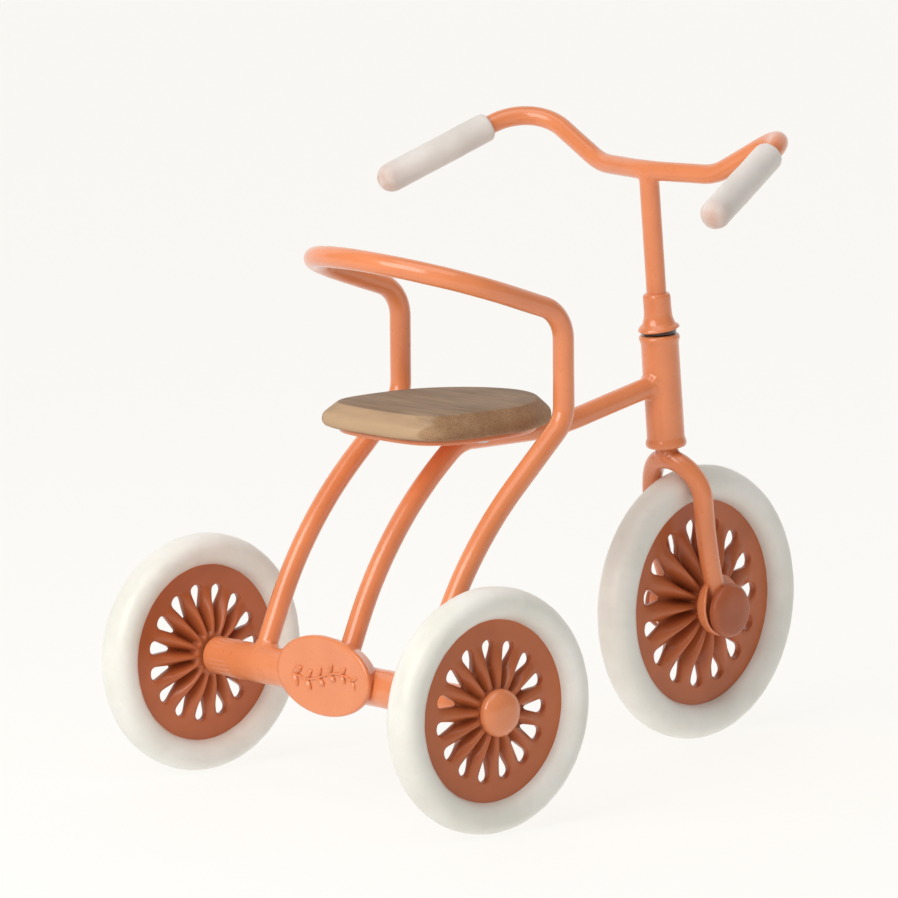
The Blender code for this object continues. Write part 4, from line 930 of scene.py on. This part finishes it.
# %% The tree that repeats the slice
def press_tree():
    tree, given = new_tree("press_disc", [("Count", "Int", RIB_COUNT), ("Finish", "Material", None)])
    punches = add_node(tree, "GeometryNodePoints", {"Count": given["Count"]})
    index = add_node(tree, "GeometryNodeInputIndex")
    step = maths(tree, "DIVIDE", 2 * pi, given["Count"])
    angle = maths(tree, "MULTIPLY", index.outputs[0], step)
    turn = add_node(tree, "FunctionNodeAxisAngleToRotation", {"Axis": (0.0, 0.0, 1.0), "Angle": angle})
    copies = add_node(tree, "GeometryNodeInstanceOnPoints",
                      {"Points": punches.outputs[0], "Instance": given["Geometry"],
                       "Rotation": turn.outputs[0]})
    real = add_node(tree, "GeometryNodeRealizeInstances", {"Geometry": copies.outputs[0]})
    joined = add_node(tree, "GeometryNodeMergeByDistance",
                      {"Geometry": real.outputs["Geometry"], "Distance": 0.003})
    close_tree(tree, joined.outputs["Geometry"], given["Finish"])
    return tree


press_disc = press_tree()
print("pressing tree:", len(press_disc.nodes), "nodes")

# %% Press the three discs
REAR_DISC_RADIUS = 14.75
FRONT_DISC_RADIUS = 17.5
RIB_TURN = {"left": radians(4.4), "right": radians(-8.9), "front": radians(-4.6)}
rear_slice = slice_mesh(REAR_DISC_RADIUS, 2.1, 3.0)
front_slice = slice_mesh(FRONT_DISC_RADIUS, 3.2, 3.2)
wheels = [("rear_wheel_left", "left", rear_slice, REAR_HUB["left"], "rear_wheel_disc_left"),
          ("rear_wheel_right", "right", rear_slice, REAR_HUB["right"], "rear_wheel_disc_right"),
          ("front_wheel", "front", front_slice, FRONT_WHEEL, "front_wheel_disc")]
for body, word, one_slice, place, node in wheels:
    disc = grow(f"disc_{word}", press_disc, one_slice, {"Finish": disc_enamel}, 70.0)
    first_hole = pi / 2 + SECTOR / 2 + RIB_TURN[word]
    add_piece(f"fluted_disc_{word}", disc, place @ Matrix.Rotation(first_hole, 4, "Z"), body,
              "disc_enamel", [node])

# %% [markdown]
# ## Tyres and hub caps
# A tyre is a plain moulded ring, and its section is a little fuller than an ellipse. The rear hubs
# wear a low dome; the front axle has its buttons outside the fork.


# %% Tyres
TYRE_FULLNESS = 2.15
TYRE_HALF_WIDTH = 3.3
TYRE_POINTS = 48
REAR_TYRE_SIZE = (REAR_TYRE_RADIUS, 14.7)
FRONT_TYRE_SIZE = (23.34, 17.45)


def bulged(value, fullness):
    """A cosine or sine drawn out to a fuller curve; 2 leaves it as it is."""
    return abs(value) ** (2 / fullness) * (1 if value > 0 else -1)


def tyre_mesh(name, outer, inner):
    middle = (outer + inner) / 2
    depth = (outer - inner) / 2
    section = []
    for k in range(TYRE_POINTS):
        angle = 2 * pi * k / TYRE_POINTS
        section.append((middle + depth * bulged(cos(angle), TYRE_FULLNESS),
                        TYRE_HALF_WIDTH * bulged(sin(angle), TYRE_FULLNESS)))
    return spun(name, section, 160, closed=True, wobble=0.05)


tyres = [("rear_wheel_left", "left", REAR_TYRE_SIZE, REAR_HUB["left"], "rear_tyre_left"),
         ("rear_wheel_right", "right", REAR_TYRE_SIZE, REAR_HUB["right"], "rear_tyre_right"),
         ("front_wheel", "front", FRONT_TYRE_SIZE, FRONT_WHEEL, "front_tyre")]
for body, word, size, place, node in tyres:
    add_piece(f"ring_tyre_{word}", tyre_mesh("tyre", *size), place, body, "ivory_tyre", [node])

# %% Hub domes
DOME_RADIUS = 3.9
DOME_STEPS = 14
dome_angles = [pi / 2 * k / DOME_STEPS for k in range(1, DOME_STEPS)]
cap = [(0.0, 0.0), (3.75, 0.0), (DOME_RADIUS, 0.35)]
cap += [(DOME_RADIUS * cos(a) ** 0.8, 0.5 + 1.9 * sin(a)) for a in dome_angles]
cap.append((0.0, 2.4))
for word in SIDES:
    add_piece(f"hub_dome_{word}", spun("dome", cap, wobble=0.04),
              REAR_HUB[word] @ Matrix.Translation((0.0, 0.0, 2.2)), "frame", "coral_enamel",
              [f"rear_hub_cap_{word}"])

# %% [markdown]
# ## Seat
# The seat is a small board with a squarish back and a rounder front. A maker saws the outline,
# planes a slope round the top edge and breaks the lower edge. Stacked outlines follow that.

# %% Seat outline
WELD_GAP = 0.25
PLATE_THICKNESS = 0.8
SEAT_X = 23.4
PLATE_BOTTOM = BACKBONE_Z + TUBE_RADIUS + WELD_GAP
SEAT_BOTTOM = PLATE_BOTTOM + PLATE_THICKNESS + WELD_GAP
SEAT_FRONT = 18.0
SEAT_BACK = 18.2
SEAT_HALF_WIDTH = 16.4
FRONT_FULLNESS = 1.85
BACK_FULLNESS = 4.2
SEAT_POINTS = 144


def seat_ring(inset, height):
    points = []
    for k in range(SEAT_POINTS):
        angle = 2 * pi * k / SEAT_POINTS
        ahead = cos(angle) > 0
        fullness = FRONT_FULLNESS if ahead else BACK_FULLNESS
        x = ((SEAT_FRONT if ahead else SEAT_BACK) - inset) * bulged(cos(angle), fullness)
        y = (SEAT_HALF_WIDTH - inset) * bulged(sin(angle), fullness)
        points.append(Vector((x, y, height)))
    return points


def stacked(name, rings, sharp):
    bm = bmesh.new()
    loops = [[bm.verts.new(p) for p in ring] for ring in rings]
    count = len(loops[0])
    for low, high in zip(loops, loops[1:]):
        for k in range(count):
            n = (k + 1) % count
            bm.faces.new((low[k], low[n], high[n], high[k]))
    for loop in (loops[0], loops[-1]):
        bm.faces.new(loop)
    return settle(bm, name, sharp)


print("seat underside in mm:", round(SEAT_BOTTOM, 2))

# %% Seat board and its plate
board_edge = [(9.0, 0.0), (0.8, 0.0), (0.35, 0.2), (0.1, 0.55), (0.0, 0.95), (0.03, 1.5),
              (0.15, 1.9), (0.4, 2.25), (0.8, 2.65), (1.3, 3.1), (1.8, 3.55), (2.1, 3.82),
              (2.25, 3.93), (2.5, 4.0), (9.0, 4.0)]
board = stacked("seat", [seat_ring(inset, height) for inset, height in board_edge], 60.0)
add_piece("seat_board", board, FRAME @ Matrix.Translation((SEAT_X, 0.0, SEAT_BOTTOM)), "frame",
          "seat_wood", ["wooden_seat"])
plate_edge = [(6.0, 0.0), (2.6, 0.0), (2.42, 0.15), (2.4, 0.4), (2.42, 0.9), (2.6, 1.02), (6.0, 1.02)]
plate = stacked("plate", [seat_ring(inset, height) for inset, height in plate_edge], 60.0)
add_piece("seat_tray", plate, FRAME @ Matrix.Translation((SEAT_X, 0.0, PLATE_BOTTOM)), "frame",
          "coral_enamel", ["seat_plate"])

# %% [markdown]
# ## Medallion
# The oval on the axle beam carries no lettering here. It is a cast oval with a soft edge whose
# back slopes into the beam. A raised leaf sprig fills its face: a Geometry Nodes tree sets pairs
# of leaves along a wavy stalk, smaller towards the tip, so the spacing stays even.


# %% Oval medallion
OVAL_HALF_WIDTH = 11.7
OVAL_HALF_HEIGHT = 6.6
OVAL_RISE = 1.2
OVAL_POINTS = 128


def oval_ring(depth, scale):
    ring = []
    for k in range(OVAL_POINTS):
        angle = 2 * pi * k / OVAL_POINTS
        across = OVAL_HALF_WIDTH * scale * cos(angle)
        ring.append(Vector((-depth, across, OVAL_RISE + OVAL_HALF_HEIGHT * scale * sin(angle))))
    return ring


edge = [(4.05, 0.5), (4.2, 0.8), (4.25, 0.94), (4.2, 0.975), (4.05, 0.995), (3.8, 1.0), (3.45, 0.998),
        (3.2, 0.98), (2.4, 0.94), (1.6, 0.9), (0.9, 0.86), (0.9, 0.5)]
medallion = stacked("medallion", [oval_ring(depth, scale) for depth, scale in edge], 60.0)
add_piece("medallion", medallion, FRAME @ Matrix.Translation(AXLE), "frame", "coral_enamel",
          ["axle_badge"])


# %% One leaf
LEAF_LENGTH = 2.6
LEAF_HALF_WIDTH = 0.62
LEAF_DOME = 0.48
LEAF_ROWS = 8
LEAF_SIDES = 12


def leaf_mesh():
    """Small domed leaf that grows from the origin along +X."""
    bm = bmesh.new()
    rows = []
    for i in range(LEAF_ROWS + 1):
        t = i / LEAF_ROWS
        wide = LEAF_HALF_WIDTH * sin(pi * t) ** 0.8
        row = []
        for k in range(LEAF_SIDES):
            across = min(k, LEAF_SIDES - k) / 3 - 1
            swell = 1 - across ** 2
            dome = (LEAF_DOME if k < LEAF_SIDES / 2 else -0.08) * swell * sin(pi * t) ** 0.5
            row.append(bm.verts.new((LEAF_LENGTH * t, wide * across, dome)))
        rows.append(row)
    for near, far in zip(rows, rows[1:]):
        for k in range(LEAF_SIDES):
            n = (k + 1) % LEAF_SIDES
            bm.faces.new((near[k], far[k], far[n], near[n]))
    return settle(bm, "leaf")


# %% The sprig tree
def sprig_tree():
    tree, given = new_tree("leaf_sprig", [("Leaf", "Object", None), ("Pairs", "Int", 6),
                                          ("Spread", "Float", 0.75), ("Finish", "Material", None)])
    stalk = add_node(tree, "GeometryNodeMeshToCurve", {"Mesh": given["Geometry"]})
    knots = add_node(tree, "GeometryNodeCurveToPoints",
                     {"Curve": stalk.outputs["Curve"], "Count": given["Pairs"]}, mode="COUNT")
    leaf = add_node(tree, "GeometryNodeObjectInfo", {"Object": given["Leaf"]})
    index = add_node(tree, "GeometryNodeInputIndex")
    size = levels(tree, maths(tree, "DIVIDE", index.outputs[0], given["Pairs"]), 1.0, 0.6, 0.0, 1.0)
    groups = []
    for sign in SIDES.values():
        angle = maths(tree, "MULTIPLY", given["Spread"], sign)
        turn = add_node(tree, "FunctionNodeAxisAngleToRotation",
                        {"Axis": (0.0, 0.0, 1.0), "Angle": angle})
        along = add_node(tree, "FunctionNodeAlignRotationToVector",
                         {"Vector": knots.outputs["Tangent"]}, axis="X")
        both = add_node(tree, "FunctionNodeRotateRotation",
                        {0: along.outputs[0], 1: turn.outputs[0]}, rotation_space="GLOBAL")
        copies = add_node(tree, "GeometryNodeInstanceOnPoints",
                          {"Points": knots.outputs["Points"], "Instance": leaf.outputs["Geometry"],
                           "Rotation": both.outputs[0], "Scale": size})
        groups.append(copies.outputs[0])
    circle = add_node(tree, "GeometryNodeCurvePrimitiveCircle", {"Radius": 0.2, "Resolution": 10})
    stem = add_node(tree, "GeometryNodeCurveToMesh",
                    {"Curve": stalk.outputs["Curve"], "Profile Curve": circle.outputs["Curve"],
                     "Fill Caps": True})
    joined = tree.nodes.new("GeometryNodeJoinGeometry")
    for part in groups + [stem.outputs["Mesh"]]:
        tree.links.new(part, joined.inputs[0])
    close_tree(tree, joined.outputs[0], given["Finish"])
    return tree


# %% Grow the sprig
STALK_HALF = 7.5
STALK_STEPS = 40
leaf = bpy.data.objects.new("leaf", leaf_mesh())
bpy.context.scene.collection.objects.link(leaf)
stalk_xs = [-STALK_HALF + 2 * STALK_HALF * k / STALK_STEPS for k in range(STALK_STEPS + 1)]
stalk = [(x, 0.9 * sin(x / 2.6), 0.0) for x in stalk_xs]
sprig = grow("sprig", sprig_tree(), line_mesh([stalk]), {"Leaf": leaf, "Finish": coral_enamel}, 60.0)
bpy.data.objects.remove(leaf)
facing_back = Matrix.Rotation(-pi / 2, 4, "Z") @ Matrix.Rotation(pi / 2, 4, "X")
on_oval = Matrix.Translation(AXLE + Vector((-4.2, 0.0, OVAL_RISE)))
add_piece("leaf_sprig", sprig, FRAME @ on_oval @ facing_back, "frame", "coral_enamel")


# %% [markdown]
# ## Pools of paint
# Where bars meet, the paint gathers in a thick fillet. A distance field draws it: the distance to each
# member's line less its radius, joined by a smooth minimum, is zero on a surface that flows from
# one member into the other. Volume Cube samples the field, and Volume to Mesh skins it. The skin
# lies just under the bars' own surface, so only the fillets come out.


# %% The paint pool tree
SKIN_DEPTH = 0.05
SKIN_LEVEL = 0.5


def pool_tree():
    tree, given = new_tree("paint_pool", [
        ("Members", "Object", None), ("Member radius", "Float", 1.75), ("Beam", "Object", None),
        ("Beam radius", "Float", 3.15), ("Fillet", "Float", 2.0), ("Lumps", "Float", 0.5),
        ("Low", "Vector", (0.0, 0.0, 0.0)), ("High", "Vector", (1.0, 1.0, 1.0)),
        ("Cells X", "Int", 32), ("Cells Y", "Int", 32), ("Cells Z", "Int", 32),
        ("Finish", "Material", None)])

    def distance(label, radius):
        info = add_node(tree, "GeometryNodeObjectInfo", {"Object": given[label]})
        near = add_node(tree, "GeometryNodeProximity", {0: info.outputs["Geometry"]},
                        target_element="EDGES")
        return maths(tree, "SUBTRACT", near.outputs["Distance"], given[radius])

    member = distance("Members", "Member radius")
    beam = distance("Beam", "Beam radius")
    joined = maths(tree, "SMOOTH_MIN", member, beam, given["Fillet"])
    extra = maths(tree, "SUBTRACT", maths(tree, "MINIMUM", member, beam), joined)
    lump = add_node(tree, "ShaderNodeTexNoise", {"Scale": 1.1, "Detail": 1.0}).outputs["Fac"]
    swing = maths(tree, "MULTIPLY", levels(tree, lump, -1.0, 1.0), given["Lumps"])
    thinner = maths(tree, "ADD", joined, maths(tree, "MULTIPLY", swing, extra))
    density = maths(tree, "SUBTRACT", SKIN_LEVEL - SKIN_DEPTH, thinner)
    cube = add_node(tree, "GeometryNodeVolumeCube", {
        "Density": density, "Min": given["Low"], "Max": given["High"],
        "Resolution X": given["Cells X"], "Resolution Y": given["Cells Y"],
        "Resolution Z": given["Cells Z"]})
    skin = add_node(tree, "GeometryNodeVolumeToMesh", {"Volume": cube.outputs[0], "Threshold": SKIN_LEVEL})
    close_tree(tree, skin.outputs[0], given["Finish"])
    return tree


paint_pool = pool_tree()
print("paint pool tree:", len(paint_pool.nodes), "nodes")

# %% A pool between two members
CELL = 0.22


def pool_mesh(name, members, member_radius, beam, beam_radius, low, high, fillet=2.0):
    """Skins the fillet between some members and a beam inside the box from low to high."""
    guides = []
    for lines in (members, beam):
        guide = bpy.data.objects.new("guide", line_mesh(lines))
        bpy.context.scene.collection.objects.link(guide)
        guides.append(guide)
    sizes = {"Members": guides[0], "Member radius": member_radius, "Beam": guides[1],
             "Beam radius": beam_radius, "Fillet": fillet, "Low": low, "High": high,
             "Finish": coral_enamel}
    for axis, label in enumerate(("Cells X", "Cells Y", "Cells Z")):
        sizes[label] = round((high[axis] - low[axis]) / CELL)
    mesh = grow(name, paint_pool, bpy.data.meshes.new("empty"), sizes, 80.0)
    for guide in guides:
        bpy.data.objects.remove(guide)
    return mesh


# %% Pools at the axle
axle_line = [AXLE + Vector((0.0, -AXLE_HALF, 0.0)), AXLE + Vector((0.0, AXLE_HALF, 0.0))]
for word, y in (("left", SIDE_TUBE_OFFSET), ("middle", 0.0), ("right", -SIDE_TUBE_OFFSET)):
    foot = [Vector((p.x, y, p.z)) for p in stay_points(SIDE_TOP_ANGLE)[:3]]
    low = Vector((-4.5, y - 6.0, 15.5))
    high = Vector((7.5, y + 6.0, 30.5))
    pool = pool_mesh("pool", [foot], TUBE_RADIUS, [axle_line], AXLE_TUBE_RADIUS, low, high)
    add_piece(f"foot_pool_{word}", pool, FRAME, "frame", "coral_enamel")

# %% Pools at the head, the crown and the handlebar
head_axis = Matrix.Rotation(-HEAD_ANGLE, 3, "Y") @ Vector((0.0, 0.0, 1.0))
head_line = [HEAD_PIVOT - 9.0 * head_axis, HEAD_PIVOT + 9.5 * head_axis]
pool = pool_mesh("pool", [backbone_line[-40:]], TUBE_RADIUS, [head_line], HEAD_RADIUS,
                 Vector((61.0, -5.0, 52.0)), Vector((75.0, 5.0, 69.0)))
add_piece("head_pool", pool, FRAME, "frame", "coral_enamel")
neck_line = [stem_line[0] + Vector((0.0, 0.0, 1.0)), stem_line[1] - Vector((0.0, 0.0, 0.9))]
pool = pool_mesh("pool", [neck_line], STEM_RADIUS, [fork_line], FORK_RADIUS,
                 Vector((-4.5, -8.0, -16.5)), Vector((5.5, 8.0, -8.0)), 1.6)
add_piece("crown_pool", pool, STEERING, "steering", "coral_enamel")
pool = pool_mesh("pool", [neck_line], STEM_RADIUS, [bar_line], BAR_RADIUS,
                 Vector((-5.0, -8.0, 32.0)), Vector((5.0, 8.0, 40.5)), 1.8)
add_piece("bar_pool", pool, BAR, "steering", "coral_enamel")

# %% [markdown]
# ## Small parts that stay
# The rods, washers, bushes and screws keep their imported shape. They only need a finish.

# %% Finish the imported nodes
slots = {entry["node"]: entry["material_slot"] for entry in frame["record"]["subparts"]}
for node, piece in frame["nodes"].items():
    finish = FINISHES[slots[node]]
    if piece.data.materials:
        piece.data.materials[0] = finish
    else:
        piece.data.materials.append(finish)
print("packed nodes with a finish:", len(slots))

# %% [markdown]
# ## Studio
# The toy stands on a pale sweep of paper that gives off most of its own light, so it stays even. A
# small soft box shines from the left, a larger one from above, and the world fills the shadows. The
# lens is long, so the wheels stay true ovals.


# %% Paper sweep
SWEEP_TURN = radians(40.75)
SWEEP_HALF_WIDTH = 4.0
SWEEP_START = 1.5
SWEEP_BEND = 0.8


def sweep_mesh():
    """Floor that curves up far behind the toy."""
    bm = bmesh.new()
    along = Vector((sin(SWEEP_TURN), cos(SWEEP_TURN), 0.0))
    across = SWEEP_HALF_WIDTH * Vector((along.y, -along.x, 0.0))
    profile = [(-3.0, 0.0), (0.0, 0.0), (SWEEP_START, 0.0)]
    for angle in [pi / 2 * k / 12 for k in range(1, 13)]:
        profile.append((SWEEP_START + SWEEP_BEND * sin(angle), SWEEP_BEND - SWEEP_BEND * cos(angle)))
    profile.append((SWEEP_START + SWEEP_BEND, 4.0))
    rows = []
    for distance, height in profile:
        base = along * distance + Vector((0.0, 0.0, height))
        rows.append([bm.verts.new(base - across), bm.verts.new(base + across)])
    for low, high in zip(rows, rows[1:]):
        bm.faces.new((low[0], low[1], high[1], high[0]))
    mesh = bpy.data.meshes.new("sweep")
    bm.to_mesh(mesh)
    bm.free()
    mesh.shade_smooth()
    return mesh


sweep = bpy.data.objects.new("sweep", sweep_mesh())
bpy.context.scene.collection.objects.link(sweep)
paper, _, shader, _ = new_finish("paper")
shader.inputs["Base Color"].default_value = (0.12, 0.12, 0.118, 1.0)
shader.inputs["Roughness"].default_value = 0.9
shader.inputs["Specular IOR Level"].default_value = 0.1
shader.inputs["Emission Color"].default_value = (1.0, 0.98, 0.945, 1.0)
shader.inputs["Emission Strength"].default_value = 0.865
sweep.data.materials.append(paper)
sweep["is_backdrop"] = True
print("paper sweep:", len(sweep.data.polygons), "faces")

# %% Lights
LIT_SPOT = Vector((30.0, 0.0, 45.0))


def soft_light(name, towards, distance, size, power, colour=(1.0, 1.0, 1.0)):
    """Square soft box that looks at the toy from the given direction."""
    lamp = bpy.data.lights.new(name, "AREA")
    lamp.shape = "SQUARE"
    lamp.size = size
    lamp.energy = power
    lamp.color = colour
    holder = bpy.data.objects.new(name, lamp)
    towards = Vector(towards).normalized()
    holder.location = FRAME @ LIT_SPOT + distance * towards
    holder.rotation_euler = (-towards).to_track_quat("-Z", "Y").to_euler()
    bpy.context.scene.collection.objects.link(holder)


soft_light("key", (-0.86, -0.12, 0.50), 0.50, 0.32, 1.65, (1.0, 0.985, 0.96))
soft_light("top", (-0.25, -0.20, 1.0), 0.9, 0.7, 2.6)
world = bpy.data.worlds.new("studio")
world.use_nodes = True
world.node_tree.nodes["Background"].inputs["Color"].default_value = (1.0, 0.99, 0.975, 1.0)
world.node_tree.nodes["Background"].inputs["Strength"].default_value = 0.28
bpy.context.scene.world = world
bpy.context.scene.view_settings.view_transform = "Standard"
print("lights:", ", ".join(lamp.name for lamp in bpy.data.lights))

# %% Camera
VIEW_CENTRE = Vector((30.0, 0.0, 40.0))
VIEW_DISTANCE = 1243.9
SHIFT_RIGHT = -0.004147
SHIFT_UP = 0.01176
azimuth = radians(-40.7521)
elevation = radians(9.3779)
roll = radians(-0.5106)
back = Vector((sin(azimuth) * cos(elevation), -cos(azimuth) * cos(elevation), sin(elevation)))
level = Vector((cos(azimuth), sin(azimuth), 0.0))
lift = level.cross(-back)
right = level * cos(roll) + lift * sin(roll)
up = lift * cos(roll) - level * sin(roll)
aim = (-back + SHIFT_RIGHT * right + SHIFT_UP * up).normalized()
right = aim.cross(up).normalized()
up = right.cross(aim)
camera = bpy.data.cameras.new("camera")
camera.lens = 302.2
camera.sensor_width = 36.0
camera.clip_start = 0.05
camera.clip_end = 20.0
viewer = bpy.data.objects.new("camera", camera)
viewer.matrix_world = Matrix((right, up, -aim)).transposed().to_4x4()
viewer.location = FRAME @ (VIEW_CENTRE + VIEW_DISTANCE * back)
bpy.context.scene.collection.objects.link(viewer)
bpy.context.scene.camera = viewer
print("lens in mm:", round(camera.lens, 1))

# %% [markdown]
# ## Size of the finished toy
# The finished toy must fill the same box as the imported model. Its size is printed here.

# %% Print the size of the finished toy
low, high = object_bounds()
print("visual size in mm:", [round(1000 * (h - l), 1) for l, h in zip(low, high)])
